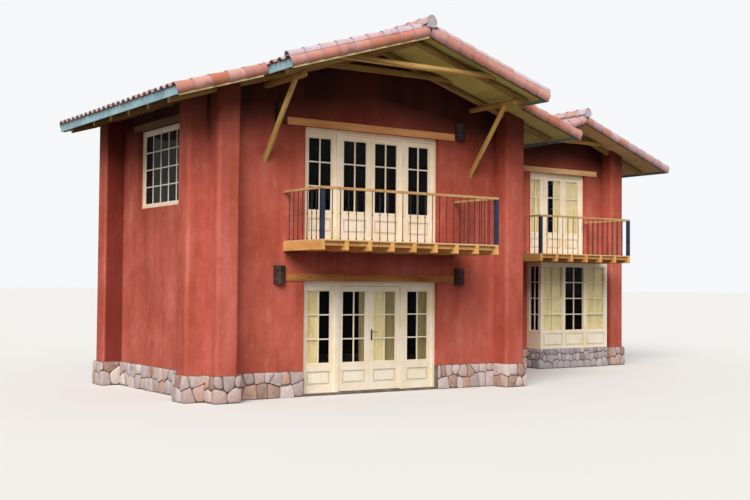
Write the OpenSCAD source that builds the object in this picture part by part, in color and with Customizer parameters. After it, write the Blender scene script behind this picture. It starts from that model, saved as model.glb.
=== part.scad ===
// Two-storey adobe house: a gabled main block with a rear wing, log framed tile roofs,
// balconies on log joists, angle buttresses and a rubble stone plinth.
// Origin: middle of the main block's plan, on the ground. +X along the front to the right,
// +Y to the back, +Z up. The main front faces -Y.

/* [Main block] */
// Width of the main block over its side walls
main_w = 7400; // [6800:10:8200]
// Depth of the main block over its front and back walls
main_d = 4540; // [4300:10:5400]
// Thickness of the adobe walls
wall_t = 455; // [400:5:500]
// Height of the stone plinth
plinth_h = 500; // [400:10:600]
// How far the plinth stands out from the walls
plinth_out = 20; // [10:1:40]
// Length of the wall ends that run past the corners as buttresses
buttress_out = 410; // [300:10:500]
// Width of the front right buttress of the main block
pier_t = 520; // [460:10:600]
// Radius of the soft corners of the adobe
corner_r = 70; // [40:5:90]
// Upper floor level above the ground
floor_z = 3000; // [2900:10:3200]
// Thickness of the upper floor
floor_t = 180; // [150:10:250]
// Thickness of the ground floor slab
slab_t = 40; // [30:5:60]

/* [Roofs] */
// Pitch of the main roof
main_pitch = 17.2; // [14:0.1:20]
// Height of the main roof boards' underside at the ridge
main_ridge_z = 6940; // [6800:10:7300]
// Pitch of the wing roof
wing_pitch = 19.4; // [16:0.1:22]
// Gap between the main block's right fascia and the wing's tiles under it
eave_gap = 11; // [5:1:40]
// Overhang of the roofs past the side walls
eave_out = 1156; // [900:1:1250]
// Overhang of the main roof past the front wall, beside the porch gable
verge_out = 1050; // [900:10:1200]
// Overhang of the raised porch gable past the front wall
porch_out = 1905; // [1700:5:2100]
// Width of the porch gable
porch_w = 6190; // [5400:10:6600]
// Overhang of the wing roof past the wing's front wall
wing_verge_out = 1140; // [1000:10:1300]
// Overhang of the roofs past the back walls
back_out = 460; // [300:10:500]
// Thickness of the roof boards
board_t = 30; // [20:1:40]
// Thickness of the tile bed over the boards
tile_t = 155; // [120:5:180]
// Overhang of the tiles past the fascia
tile_lip = 50; // [30:5:80]
// Thickness of the eave fascia boards
fascia_t = 22; // [15:1:30]
// How far the fascia reaches below the boards
fascia_drop = 28; // [10:1:60]
// How far the fascia reaches above the boards, under the tiles' lip
fascia_rise = 85; // [50:5:100]
// Radius of the ridge caps
cap_r = 130; // [100:5:150]

/* [Logs] */
// Diameter of the rafter logs
rafter_d = 120; // [100:5:150]
// Diameter of the purlin logs that carry the porch gable
purlin_d = 120; // [100:5:150]
// Diameter of the collar logs
collar_d = 105; // [80:5:110]
// Diameter of the knee braces
brace_d = 95; // [70:5:110]
// Distance of the first rafter frame from the front wall
rafter_lead = 250; // [150:10:350]
// Distance from one rafter to the next
rafter_step = 930; // [800:10:1000]
// How far the rafter ends stay back from the eave
tail_back = 240; // [220:5:300]
// Distance of the main collar logs under the ridge of the main roof's boards
main_collar_drop = 550; // [500:5:700]
// Distance of the wing's collar log under the ridge of its boards
wing_collar_drop = 550; // [500:5:700]
// Distance of the porch purlins from the ridge line
purlin_x = 2515; // [2300:5:2700]
// Overhang of the porch purlins past the front wall
purlin_out = 1620; // [1560:10:1700]
// Height of the knee brace feet above the upper floor
brace_foot = 1570; // [1400:10:1800]
// Reach of the knee braces from the front wall
brace_out = 1100; // [900:10:1250]

/* [Doors and windows] */
// Width of the glazed door units of the main block
unit_w = 3265; // [3000:5:3400]
// Height of the door units
unit_h = 2195; // [2100:5:2220]
// Height of the units' head rails
head_h = 90; // [60:5:120]
// Height of the raised sills under the upper door units
sill_rise = 60; // [20:5:90]
// Height of the wood lintels
lintel_h = 140; // [120:5:180]
// Bearing of the lintels on each side of an opening
lintel_bear = 420; // [300:10:450]
// Bearing of the window lintels on each side
window_bear = 210; // [120:5:300]
// How far the lintels stand out from the wall
lintel_out = 20; // [5:1:40]
// Set back of the joinery from the wall's outer face
reveal = 100; // [60:5:150]
// Width of the frames' jambs and heads
frame_w = 60; // [50:1:80]
// Depth of the frames
frame_d = 80; // [60:1:100]
// Width of the posts between the leaves
post_w = 90; // [70:1:120]
// Distance of the door posts from the middle of the main units
post_x = 800; // [700:5:850]
// Thickness of the leaves
leaf_t = 45; // [38:1:55]
// Width of the leaves' stiles and top rails
stile_w = 95; // [70:1:120]
// Height of the glass above the bottom of a door leaf
kick_h = 570; // [500:5:700]
// Height of the rails above and below the fielded panels
panel_rail = 150; // [120:5:180]
// Depth of the groove round the fielded panels
panel_cut = 12; // [8:1:15]
// Width of the groove round the fielded panels
panel_edge = 40; // [25:1:50]
// Thickness of the glass
glass_t = 6; // [4:1:10]
// Gap round the door leaves that open
leaf_gap = 6; // [5:0.5:10]
// Radius of the hinge barrels
barrel_r = 9; // [7:0.5:12]
// Radius of the hinge pins
pin_r = 4.5; // [3:0.5:5]
// Length of one hinge barrel
barrel_l = 90; // [60:5:120]
// Width of the hinge plates
plate_w = 40; // [30:1:50]
// Thickness of the hinge plates
plate_t = 4; // [3:0.5:5]
// Height of the door handle's plate
handle_h = 220; // [180:5:240]
// Width of the door handle's plate
handle_w = 38; // [30:1:45]
// Height of the middle of the door handle above the sill
handle_z = 1120; // [1000:10:1200]
// Diameter of the door lever
lever_d = 16; // [12:1:20]
// Length of the door lever
lever_l = 115; // [90:5:130]
// Distance of the door lever from the leaf
lever_out = 48; // [40:1:60]
// Thickness of the inner shutters
shutter_t = 14; // [10:1:18]
// Lap of the inner shutters over the leaves' rails and stiles
shutter_lap = 15; // [8:1:18]
// Width of the side and back windows
window_w = 2100; // [1800:10:2200]
// Height of the side and back windows
window_h = 1610; // [1400:10:1650]
// Width of the narrower window beside the valley
valley_window_w = 1300; // [1000:10:1500]
// Distance of that window's middle forward of the main block's middle
valley_window_y = 700; // [650:10:800]
// Height of the window sills above their floor
sill_up = 700; // [600:10:900]

/* [Balconies] */
// Width of the main balcony
balcony_w = 4220; // [4000:10:4600]
// Depth of the main balcony
balcony_d = 1395; // [1200:5:1500]
// Width of the wing balcony
wing_balcony_w = 3210; // [3000:10:3400]
// Depth of the wing balcony
wing_balcony_d = 1700; // [1500:10:1750]
// Distance of the wing balcony's middle from the wing's ridge line
wing_balcony_x = -625; // [-700:5:-500]
// Thickness of the deck boards
deck_t = 30; // [20:1:40]
// Height of the joists
joist_h = 165; // [140:5:200]
// Width of the joists
joist_w = 80; // [60:5:100]
// Number of joists under the main balcony
joists = 9; // [7:1:11]
// Number of joists under the wing balcony
wing_joists = 7; // [5:1:9]
// Height of the handrail above the deck
rail_h = 966; // [900:1:1000]
// Width of the handrail
handrail_w = 70; // [50:1:90]
// Thickness of the handrail
handrail_t = 45; // [35:1:60]
// Width of the metal corner posts
corner_w = 75; // [60:1:90]
// Distance from one baluster to the next
baluster_step = 175; // [150:5:200]
// Diameter of the balusters
baluster_d = 16; // [12:1:22]

/* [Wing] */
// Set back of the wing's front wall from the main front
wing_set = 3660; // [3300:10:3900]
// Width of the wing past the main block's side wall
wing_w = 6990; // [6500:10:7400]
// Depth of the wing
wing_d = 4540; // [4200:10:5000]
// Distance of the wing's ridge line from the wing's outer wall face
wing_ridge_in = 2090; // [1900:10:2300]
// Width of the wing's upper door unit
wing_unit_w = 2050; // [1900:10:2200]
// Distance of that unit's post from its left side
wing_post_in = 620; // [560:10:680]
// Width of the bay window
bay_w = 2460; // [2300:10:2600]
// Projection of the bay window
bay_out = 535; // [450:5:600]
// Distance of the bay's middle from the wing's ridge line
bay_x = 100; // [0:5:150]
// Height of the bay's stone base
bay_base_h = 520; // [450:10:600]
// Width of the bay's posts and rails
bay_post = 100; // [80:5:120]
// Height of the bay's panels between their rails
bay_panel_h = 380; // [300:10:420]
// Overhang of the wing's left roof slope past its back left wall
catslide_out = 600; // [300:10:700]

/* [Lamps] */
// Radius of the half round wall lamps
lamp_r = 120; // [90:5:140]
// Height of the wall lamps
lamp_h = 350; // [280:10:380]
// Thickness of the lamps' iron
lamp_t = 3; // [2:0.5:4]
// Gap between the wall lamps and the lintels
lamp_gap = 20; // [10:5:60]

/* [Hidden] */
$fn = 32;

// Clearance between round pieces that touch
seat = 0.3;
// Faces of the main block
mx = main_w / 2;
my = main_d / 2;
// Levels
ground_sill = slab_t;
upper_sill = floor_z + sill_rise;
deck_z = floor_z;
// Wing: faces and ridge line
wy0 = -my + wing_set;
wy1 = wy0 + wing_d;
wx1 = mx + wing_w;
wr = wx1 - wing_ridge_in;
// Outer edge of the wing's left slope behind the main roof
cat_x = mx - catslide_out;
main_slope = tan(main_pitch);
wing_slope = tan(wing_pitch);
main_eave = mx + eave_out;
wing_eave = wing_ridge_in + eave_out;
// Heights of the boards' and the tiles' upper faces over the boards' underside
main_board_v = board_t / cos(main_pitch);
main_tile_v = main_board_v + tile_t / cos(main_pitch);
wing_board_v = board_t / cos(wing_pitch);
wing_tile_v = wing_board_v + tile_t / cos(wing_pitch);
// The wing's left slope runs under the main block's right fascia, which sets the wing's ridge
fascia_x = main_eave - tile_lip;
wing_ridge_z = main_ridge_z - main_slope * (fascia_x - fascia_t) - fascia_drop - eave_gap
    - wing_tile_v + wing_slope * (wr - fascia_x);
clay = [0.78, 0.38, 0.3];
stone = [0.66, 0.58, 0.58];
wood = [0.78, 0.56, 0.28];
cream = [0.9, 0.86, 0.72];
log_wood = [0.62, 0.5, 0.22];
board_colour = [0.7, 0.65, 0.42];
tile = [0.82, 0.56, 0.48];
iron = [0.1, 0.1, 0.12];
blue = [0.55, 0.72, 0.84];

// Underside of the roof boards at a place across each roof
function main_under(x) = main_ridge_z - main_slope * abs(x);
function wing_under(x) = wing_ridge_z - wing_slope * abs(x - wr);

module box(x0, x1, y0, y1, z0, z1) {
    translate([x0, y0, z0])
        cube([x1 - x0, y1 - y0, z1 - z0]);
}

// Extrudes an outline drawn in X and Z from y0 to y1
module across(y0, y1) {
    translate([0, y1, 0])
        rotate([90, 0, 0])
            linear_extrude(height = y1 - y0)
                children();
}

// Plinths
module main_plinth() {
    color(stone)
        union() {
            for (side = [-1, 1])
                box(side > 0 ? unit_w / 2 : -mx - buttress_out - plinth_out,
                    side > 0 ? mx + plinth_out : -unit_w / 2, -my - plinth_out, -my + wall_t, 0, plinth_h);
            box(-mx - plinth_out, -mx + wall_t + plinth_out,
                -my - buttress_out - plinth_out, -my, 0, plinth_h);
            box(mx - pier_t - plinth_out, mx + plinth_out,
                -my - buttress_out - plinth_out, -my, 0, plinth_h);
            box(-mx - plinth_out, -mx + wall_t, -my, my, 0, plinth_h);
            box(mx - wall_t, mx + plinth_out, -my, my, 0, plinth_h);
            box(-mx - buttress_out - plinth_out, mx + plinth_out, my - wall_t, my + plinth_out, 0, plinth_h);
        }
}

module wing_plinth() {
    color(stone)
        union() {
            box(mx + plinth_out, wx1 + plinth_out, wy0 - plinth_out, wy0 + wall_t, 0, plinth_h);
            box(wx1 - wall_t - plinth_out, wx1 + plinth_out,
                wy0 - buttress_out - plinth_out, wy0, 0, plinth_h);
            box(wx1 - wall_t, wx1 + plinth_out, wy0, wy1, 0, plinth_h);
            box(mx + plinth_out, mx + wall_t, wy0, wy1, 0, plinth_h);
            box(mx - plinth_out, mx + wall_t, my + plinth_out, wy1, 0, plinth_h);
            box(mx - plinth_out, wx1 + plinth_out, wy1 - wall_t, wy1 + plinth_out, 0, plinth_h);
        }
}

// Floors
module ground_floor() {
    color([0.6, 0.45, 0.38]) {
        union() {
            box(-mx + wall_t, mx - wall_t, -my + wall_t, my - wall_t, 0, slab_t);
            box(-unit_w / 2, unit_w / 2, -my, -my + wall_t, 0, slab_t);
        }
        box(mx + wall_t, wx1 - wall_t, wy0 + wall_t, wy1 - wall_t, 0, slab_t);
    }
}

module upper_floor() {
    color(wood) {
        box(-mx + wall_t, mx - wall_t, -my + wall_t, my - wall_t, floor_z - floor_t, floor_z);
        box(mx + wall_t, wx1 - wall_t, wy0 + wall_t, wy1 - wall_t, floor_z - floor_t, floor_z);
    }
}

// Top of the opening over a door unit that stands on the given sill
function unit_top(sill) = sill + unit_h;

// Main walls
module gable_outline(x0, x1, z0) {
    polygon(concat([[x0, z0], [x1, z0], [x1, main_under(x1) - seat]],
        x0 < 0 && x1 > 0 ? [[0, main_ridge_z - seat]] : [],
        [[x0, main_under(x0) - seat]]));
}

// What comes off a free wall corner to soften it; sx and sy point out of the wall
module corner_cut(x, y, sx, sy) {
    translate([x, y, 0])
        scale([sx, sy, 1])
            difference() {
                box(-corner_r, 1, -corner_r, 1, plinth_h - 1, main_ridge_z);
                translate([-corner_r, -corner_r, 0])
                    cylinder(r = corner_r, h = main_ridge_z + 1);
            }
}

module front_wall_left() {
    color(clay)
        difference() {
            across(-my, -my + wall_t)
                gable_outline(-mx - buttress_out, -unit_w / 2, plinth_h);
            corner_cut(-mx - buttress_out, -my, -1, -1);
            corner_cut(-mx - buttress_out, -my + wall_t, -1, 1);
        }
}

module front_wall_right() {
    color(clay)
        across(-my, -my + wall_t)
            gable_outline(unit_w / 2, mx, plinth_h);
}

module front_wall_middle() {
    color(clay)
        box(-unit_w / 2, unit_w / 2, -my, -my + wall_t, unit_top(ground_sill), floor_z);
}

module front_gable() {
    color(clay)
        across(-my, -my + wall_t)
            gable_outline(-unit_w / 2, unit_w / 2, unit_top(upper_sill));
}

module front_buttresses() {
    color(clay) {
        difference() {
            across(-my - buttress_out, -my)
                gable_outline(-mx, -mx + wall_t, plinth_h);
            main_slots(-1, wall_t);
            corner_cut(-mx, -my - buttress_out, -1, -1);
            corner_cut(-mx + wall_t, -my - buttress_out, 1, -1);
        }
        difference() {
            across(-my - buttress_out, -my)
                gable_outline(mx - pier_t, mx, plinth_h);
            main_slots(1, pier_t);
            corner_cut(mx - pier_t, -my - buttress_out, -1, -1);
            corner_cut(mx, -my - buttress_out, 1, -1);
        }
    }
}

// A slot for a rafter through a wall top, from x0 to x1 beside the ridge line at x_mid
module rafter_slot(y, side, x0, x1, ridge_z, slope, x_mid) {
    depth = (rafter_d + 2 * seat) * norm([1, slope]);
    across(y - rafter_d / 2 - seat, y + rafter_d / 2 + seat)
        polygon([for (p = [[x0, -depth], [x1, -depth], [x1, 50], [x0, 50]])
            [x_mid + side * p[0], ridge_z - slope * p[0] + p[1]]]);
}

module main_slots(side, t) {
    for (y = main_rafter_ys())
        rafter_slot(y, side, mx - t - 1, mx + 1, main_ridge_z, main_slope, 0);
}

module left_wall() {
    color(clay)
        difference() {
            across(-my + wall_t, my - wall_t)
                gable_outline(-mx, -mx + wall_t, plinth_h);
            main_slots(-1, wall_t);
            window_hole_x(-mx, 0, window_w);
        }
}

module right_wall() {
    color(clay)
        difference() {
            across(-my + wall_t, my - wall_t)
                gable_outline(mx - wall_t, mx, plinth_h);
            main_slots(1, wall_t);
            window_hole_x(mx - wall_t, -valley_window_y, valley_window_w);
        }
}

// An upper window opening through a wall that runs along Y
module window_hole_x(x0, y, w) {
    box(x0 - 1, x0 + wall_t + 1, y - w / 2, y + w / 2, floor_z + sill_up, floor_z + sill_up + window_h);
}

// A window opening through a wall that runs along X
module window_hole_y(x, y0, level) {
    box(x - window_w / 2, x + window_w / 2, y0 - 1, y0 + wall_t + 1,
        level + sill_up, level + sill_up + window_h);
}

module back_wall() {
    color(clay)
        difference() {
            across(my - wall_t, my)
                gable_outline(-mx - buttress_out, mx, plinth_h);
            window_hole_y(0, my - wall_t, floor_z);
            window_hole_y(0, my - wall_t, 0);
            corner_cut(-mx - buttress_out, my, -1, 1);
            corner_cut(-mx - buttress_out, my - wall_t, -1, -1);
        }
}

// Wing walls
module wing_outline(x0, x1, z0) {
    polygon(concat([[x0, z0], [x1, z0], [x1, wing_under(x1) - seat]],
        x0 < wr && x1 > wr ? [[wr, wing_ridge_z - seat]] : [],
        [[x0, wing_under(x0) - seat]]));
}

module wing_front_wall() {
    ux0 = wr - wing_unit_w / 2;
    color(clay) {
        across(wy0, wy0 + wall_t)
            difference() {
                wing_outline(mx, wx1, plinth_h);
                translate([ux0, bay_base_h])
                    square([wing_unit_w, bay_opening_top - bay_base_h]);
                translate([ux0, floor_z])
                    square([wing_unit_w, unit_top(upper_sill) - floor_z]);
            }
        difference() {
            across(wy0 - buttress_out, wy0)
                wing_outline(wx1 - wall_t, wx1, plinth_h);
            wing_slots(1, wing_ridge_in);
            corner_cut(wx1 - wall_t, wy0 - buttress_out, -1, -1);
            corner_cut(wx1, wy0 - buttress_out, 1, -1);
        }
    }
}

// Slots for the wing's rafters in a wall whose outer face is x_out from the ridge line
module wing_slots(side, x_out) {
    for (y = wing_rafter_ys())
        rafter_slot(y, side, x_out - wall_t - 1, x_out + 1, wing_ridge_z, wing_slope, wr);
}

module wing_side_wall() {
    color(clay)
        difference() {
            across(wy0 + wall_t, wy1 - wall_t)
                wing_outline(wx1 - wall_t, wx1, plinth_h);
            wing_slots(1, wing_ridge_in);
            window_hole_x(wx1 - wall_t, (wy0 + wy1) / 2, window_w);
        }
}

module wing_back_wall() {
    color(clay)
        difference() {
            across(wy1 - wall_t, wy1)
                wing_outline(mx, wx1, plinth_h);
            window_hole_y(wr, wy1 - wall_t, floor_z);
            window_hole_y(wr, wy1 - wall_t, 0);
            corner_cut(wx1, wy1, 1, 1);
            corner_cut(mx, wy1, -1, 1);
        }
}

module wing_inner_wall() {
    color(clay)
        difference() {
            across(wy0 + wall_t, wy1 - wall_t)
                wing_outline(mx, mx + wall_t, plinth_h);
            wing_slots(-1, wr - mx);
        }
}

// Lintels over the openings
module lintel_y(x, w, y0, level_top) {
    box(x - w / 2 - lintel_bear, x + w / 2 + lintel_bear, y0 - lintel_out, y0, level_top, level_top + lintel_h);
}

module lintels() {
    z = floor_z + sill_up + window_h;
    color(wood) {
        lintel_y(0, unit_w, -my, unit_top(ground_sill));
        lintel_y(0, unit_w, -my, unit_top(upper_sill));
        lintel_y(wr, wing_unit_w, wy0, unit_top(upper_sill));
        box(-mx - lintel_out, -mx, -window_w / 2 - window_bear, window_w / 2 + window_bear, z, z + lintel_h);
        box(mx, mx + lintel_out, -valley_window_y - valley_window_w / 2 - window_bear,
            -valley_window_y + valley_window_w / 2 + window_bear, z, z + lintel_h);
        box(wx1, wx1 + lintel_out, (wy0 + wy1 - window_w) / 2 - window_bear,
            (wy0 + wy1 + window_w) / 2 + window_bear, z, z + lintel_h);
        for (x = [0, wr], level = [0, floor_z])
            box(x - window_w / 2 - window_bear, x + window_w / 2 + window_bear,
                x == 0 ? my : wy1, (x == 0 ? my : wy1) + lintel_out,
                level + sill_up + window_h, level + sill_up + window_h + lintel_h);
    }
}

// Joinery: a frame with posts at the given places, on a sill where it has one
module unit_frame(w, posts, sill) {
    difference() {
        box(-w / 2, w / 2, 0, frame_d, -sill, unit_h);
        for (i = [0 : len(posts)]) {
            left = i == 0 ? -w / 2 + frame_w : posts[i - 1] + post_w / 2;
            right = i == len(posts) ? w / 2 - frame_w : posts[i] - post_w / 2;
            box(left, right, -1, frame_d + 1, sill > 0 ? 0 : -1, unit_clear);
        }
    }
}

// The groove round a fielded panel, cut from a face at y = 0 that looks to -Y
module panel_groove(x0, x1, z0, z1) {
    difference() {
        box(x0, x1, -1, panel_cut, z0, z1);
        box(x0 + panel_edge, x1 - panel_edge, panel_cut / 4, panel_cut + 1,
            z0 + panel_edge, z1 - panel_edge);
    }
}

// A glazed leaf from x0 to x1; kick is the height of its foot, which has a panel on both faces
module leaf(x0, x1, z0, z1, kick) {
    difference() {
        box(x0, x1, 0, leaf_t, z0, z1);
        box(x0 + stile_w, x1 - stile_w, -1, leaf_t + 1, z0 + kick, z1 - stile_w);
        for (face = [0, 1])
            translate([0, face * leaf_t, 0])
                scale([1, 1 - 2 * face, 1])
                    panel_groove(x0 + stile_w, x1 - stile_w, z0 + panel_rail, z0 + kick - panel_rail);
    }
}

module pane(x0, x1, z0, z1, kick) {
    box(x0 + stile_w, x1 - stile_w, leaf_t / 2 - glass_t / 2, leaf_t / 2 + glass_t / 2,
        z0 + kick, z1 - stile_w);
}

// Leaves in the main units: the outer lights, then the pair between the posts
light_x0 = post_x + post_w / 2;
light_x1 = unit_w / 2 - frame_w;
pair_x = post_x - post_w / 2;
unit_clear = unit_h - head_h;
leaf_y = frame_d - leaf_t;
light_xs = [[-light_x1, -light_x0], [light_x0, light_x1]];
pair_xs = [[-pair_x, -leaf_gap / 2], [leaf_gap / 2, pair_x]];

// Wing unit: one light on the left and a pair on the right of its post
wing_post = -wing_unit_w / 2 + wing_post_in;
wing_pair_mid = (wing_post + post_w / 2 + wing_unit_w / 2 - frame_w) / 2;
wing_leaf_xs = [
    [-wing_unit_w / 2 + frame_w, wing_post - post_w / 2],
    [wing_post + post_w / 2, wing_pair_mid - leaf_gap / 2],
    [wing_pair_mid + leaf_gap / 2, wing_unit_w / 2 - frame_w]
];

module at_front(sill) {
    translate([0, -my + reveal, sill])
        children();
}

module at_wing(sill) {
    translate([wr, wy0 + reveal, sill])
        children();
}

module door_frame() {
    color(cream)
        at_front(ground_sill)
            unit_frame(unit_w, [-post_x, post_x], 0);
}

module upper_door_frames() {
    color(cream) {
        at_front(upper_sill)
            unit_frame(unit_w, [-post_x, post_x], sill_rise);
        at_wing(upper_sill)
            unit_frame(wing_unit_w, [wing_post], sill_rise);
    }
}

module fixed_leaves() {
    color(cream) {
        at_front(ground_sill)
            for (xs = light_xs)
                translate([0, leaf_y, 0])
                    leaf(xs[0], xs[1], 0, unit_clear, kick_h);
        at_front(upper_sill)
            for (xs = concat(light_xs, pair_xs))
                translate([0, leaf_y, 0])
                    leaf(xs[0], xs[1], 0, unit_clear, kick_h);
        at_wing(upper_sill)
            for (xs = wing_leaf_xs)
                translate([0, leaf_y, 0])
                    leaf(xs[0], xs[1], 0, unit_clear, kick_h);
    }
}

// The leaves that open hang on three hinges each
door_z0 = 10;
door_z1 = unit_clear - leaf_gap;
door_x0 = leaf_gap / 2;
door_x1 = pair_x - leaf_gap;
hinge_zs = [250, 1050, 1850];
hinge_y = frame_d + barrel_r + seat;
hinge_x = pair_x - leaf_gap / 2;

module door_leaf() {
    difference() {
        union() {
            translate([0, leaf_y, 0])
                leaf(door_x0, door_x1, door_z0, door_z1, kick_h - door_z0);
            for (z = hinge_zs) {
                translate([hinge_x, hinge_y, z + seat])
                    cylinder(r = barrel_r, h = barrel_l / 2 - seat);
                box(hinge_x - plate_w, hinge_x, frame_d, frame_d + plate_t, z + seat, z + barrel_l / 2);
            }
        }
        for (z = hinge_zs)
            translate([hinge_x, hinge_y, z - 1])
                cylinder(r = pin_r + seat, h = barrel_l / 2 + 2);
    }
}

module door_leaf_right() {
    color(cream)
        at_front(ground_sill)
            door_leaf();
}

module door_leaf_left() {
    color(cream)
        at_front(ground_sill)
            mirror([1, 0, 0])
                door_leaf();
}

module door_hinges() {
    color(iron)
        at_front(ground_sill)
            for (side = [-1, 1], z = hinge_zs)
                scale([side, 1, 1])
                    union() {
                        translate([hinge_x, hinge_y, z - barrel_l / 2])
                            cylinder(r = barrel_r, h = barrel_l / 2);
                        translate([hinge_x, hinge_y, z - 1])
                            cylinder(r = pin_r, h = barrel_l / 2);
                        box(hinge_x, hinge_x + plate_w, frame_d, frame_d + plate_t, z - barrel_l / 2, z);
                    }
}

// Door handle: plate, lever and lock, standing out from a face at y = 0 that looks to -Y
module handle() {
    union() {
        box(-handle_w / 2, handle_w / 2, -plate_t, 0, -handle_h / 2, handle_h / 2);
        translate([0, 0, handle_h / 4])
            rotate([90, 0, 0])
                cylinder(d = lever_d - 3, h = lever_out);
        translate([-lever_d / 2, -lever_out, handle_h / 4])
            rotate([0, 90, 0])
                cylinder(d = lever_d, h = lever_l);
        translate([0, 0, -handle_h / 4])
            rotate([90, 0, 0])
                cylinder(d = handle_w * 0.6, h = 3 * plate_t);
    }
}

module door_handles() {
    color(iron)
        at_front(ground_sill)
            translate([door_x0 + stile_w / 2, leaf_y, handle_z]) {
                handle();
                translate([0, leaf_t, 0])
                    scale([1, -1, 1])
                        handle();
            }
}

// Shutters on the inner faces of the leaves, each over one half of a leaf's glass
function half_light(xs, side) = side < 0
    ? [xs[0] + stile_w - shutter_lap, (xs[0] + xs[1]) / 2 - leaf_gap / 2]
    : [(xs[0] + xs[1]) / 2 + leaf_gap / 2, xs[1] - stile_w + shutter_lap];

module shutter(xs) {
    z0 = kick_h - shutter_lap;
    z1 = unit_clear - stile_w + shutter_lap;
    difference() {
        box(xs[0], xs[1], frame_d, frame_d + shutter_t, z0, z1);
        box(xs[0] + stile_w / 2, xs[1] - stile_w / 2, frame_d + shutter_t / 2, frame_d + shutter_t + 1,
            z0 + stile_w / 2, z1 - stile_w / 2);
    }
}

module shutters() {
    color(cream) {
        at_front(ground_sill) {
            shutter(half_light(light_xs[0], -1));
            shutter(half_light(light_xs[1], 1));
        }
        at_wing(upper_sill) {
            shutter(half_light(wing_leaf_xs[0], -1));
            shutter(half_light(wing_leaf_xs[0], 1));
            shutter(half_light(wing_leaf_xs[1], 1));
            shutter(half_light(wing_leaf_xs[2], -1));
            shutter(half_light(wing_leaf_xs[2], 1));
        }
        for (i = [0, 2])
            box(bay_cell(i) - shutter_lap, bay_cell(i + 1) - bay_post + shutter_lap,
                wy0 - bay_out + frame_d, wy0 - bay_out + frame_d + shutter_t,
                bay_sill - shutter_lap, bay_top - bay_post + shutter_lap);
    }
}

// The leaf that opens runs from door_x0 to door_x1
module door_shutters_right() {
    color(cream)
        at_front(ground_sill) {
            shutter(half_light([door_x0, door_x1], -1));
            shutter(half_light([door_x0, door_x1], 1));
        }
}

module door_shutter_left() {
    xs = half_light([-door_x1, -door_x0], 1);
    color(cream)
        at_front(ground_sill)
            shutter([(xs[0] + xs[1]) / 2, xs[1]]);
}

// Windows: a frame and its glass, drawn for a wall that runs along X
module window_unit(w) {
    difference() {
        box(-w / 2, w / 2, 0, frame_d, 0, window_h);
        box(-w / 2 + frame_w, w / 2 - frame_w, -1, frame_d + 1, frame_w, window_h - frame_w);
    }
}

module window_glass(w) {
    box(-w / 2 + frame_w, w / 2 - frame_w, frame_d / 2 - glass_t / 2, frame_d / 2 + glass_t / 2,
        frame_w, window_h - frame_w);
}

// Where each window stands: its place, its turn and its width
function window_places() = concat(
    [[[-mx + reveal, 0, floor_z + sill_up], -90, window_w],
    [[mx - reveal, -valley_window_y, floor_z + sill_up], 90, valley_window_w],
    [[wx1 - reveal, (wy0 + wy1) / 2, floor_z + sill_up], 90, window_w]],
    [for (level = [0, floor_z]) [[0, my - reveal, level + sill_up], 180, window_w]],
    [for (level = [0, floor_z]) [[wr, wy1 - reveal, level + sill_up], 180, window_w]]);

module window_frames() {
    color(cream)
        for (p = window_places())
            translate(p[0])
                rotate([0, 0, p[1]])
                    window_unit(p[2]);
}

// Bay window on its stone base
bay_top = floor_z - deck_t - joist_h;
bay_x0 = wr + bay_x - bay_w / 2;
bay_x1 = wr + bay_x + bay_w / 2;
bay_opening_top = bay_top - 2 * bay_post;

module bay_base() {
    color(stone)
        box(bay_x0, bay_x1, wy0 - bay_out, wy0 - plinth_out, 0, bay_base_h);
}

bay_sill = bay_base_h + bay_panel_h + bay_post;

function bay_cell(i) = bay_x0 + bay_post + i * (bay_w - bay_post) / 3;

module bay_window() {
    color(cream)
        difference() {
            box(bay_x0, bay_x1, wy0 - bay_out, wy0, bay_base_h, bay_top);
            box(bay_x0 + frame_d, bay_x1 - frame_d, wy0 - bay_out + frame_d, wy0 + 1,
                bay_base_h + 30, bay_top - 30);
            for (i = [0 : 2]) {
                box(bay_cell(i), bay_cell(i + 1) - bay_post, wy0 - bay_out - 1, wy0 - bay_out + frame_d + 1,
                    bay_sill, bay_top - bay_post);
                translate([0, wy0 - bay_out, 0])
                    panel_groove(bay_cell(i), bay_cell(i + 1) - bay_post,
                        bay_base_h + 3 / 4 * bay_post, bay_sill - 3 / 4 * bay_post);
            }
            box(bay_x0 - 1, bay_x1 + 1, wy0 - bay_out + bay_post, wy0 - frame_d, bay_sill, bay_top - bay_post);
        }
}

module glass() {
    color([0.3, 0.35, 0.4, 0.5]) {
        at_front(ground_sill)
            for (xs = light_xs)
                translate([0, leaf_y, 0])
                    pane(xs[0], xs[1], 0, unit_clear, kick_h);
        at_front(upper_sill)
            for (xs = concat(light_xs, pair_xs))
                translate([0, leaf_y, 0])
                    pane(xs[0], xs[1], 0, unit_clear, kick_h);
        at_wing(upper_sill)
            for (xs = wing_leaf_xs)
                translate([0, leaf_y, 0])
                    pane(xs[0], xs[1], 0, unit_clear, kick_h);
        for (p = window_places())
            translate(p[0])
                rotate([0, 0, p[1]])
                    window_glass(p[2]);
        for (i = [0 : 2])
            box(bay_cell(i), bay_cell(i + 1) - bay_post,
                wy0 - bay_out + frame_d / 2, wy0 - bay_out + frame_d / 2 + glass_t, bay_sill, bay_top - bay_post);
        for (x = [bay_x0, bay_x1 - frame_d])
            box(x + frame_d / 2, x + frame_d / 2 + glass_t, wy0 - bay_out + bay_post, wy0 - frame_d,
                bay_sill, bay_top - bay_post);
    }
}

module door_pane() {
    translate([0, leaf_y, 0])
        pane(door_x0, door_x1, door_z0, door_z1, kick_h - door_z0);
}

module door_glass_right() {
    color([0.3, 0.35, 0.4, 0.5])
        at_front(ground_sill)
            door_pane();
}

module door_glass_left() {
    color([0.3, 0.35, 0.4, 0.5])
        at_front(ground_sill)
            mirror([1, 0, 0])
                door_pane();
}

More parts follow.
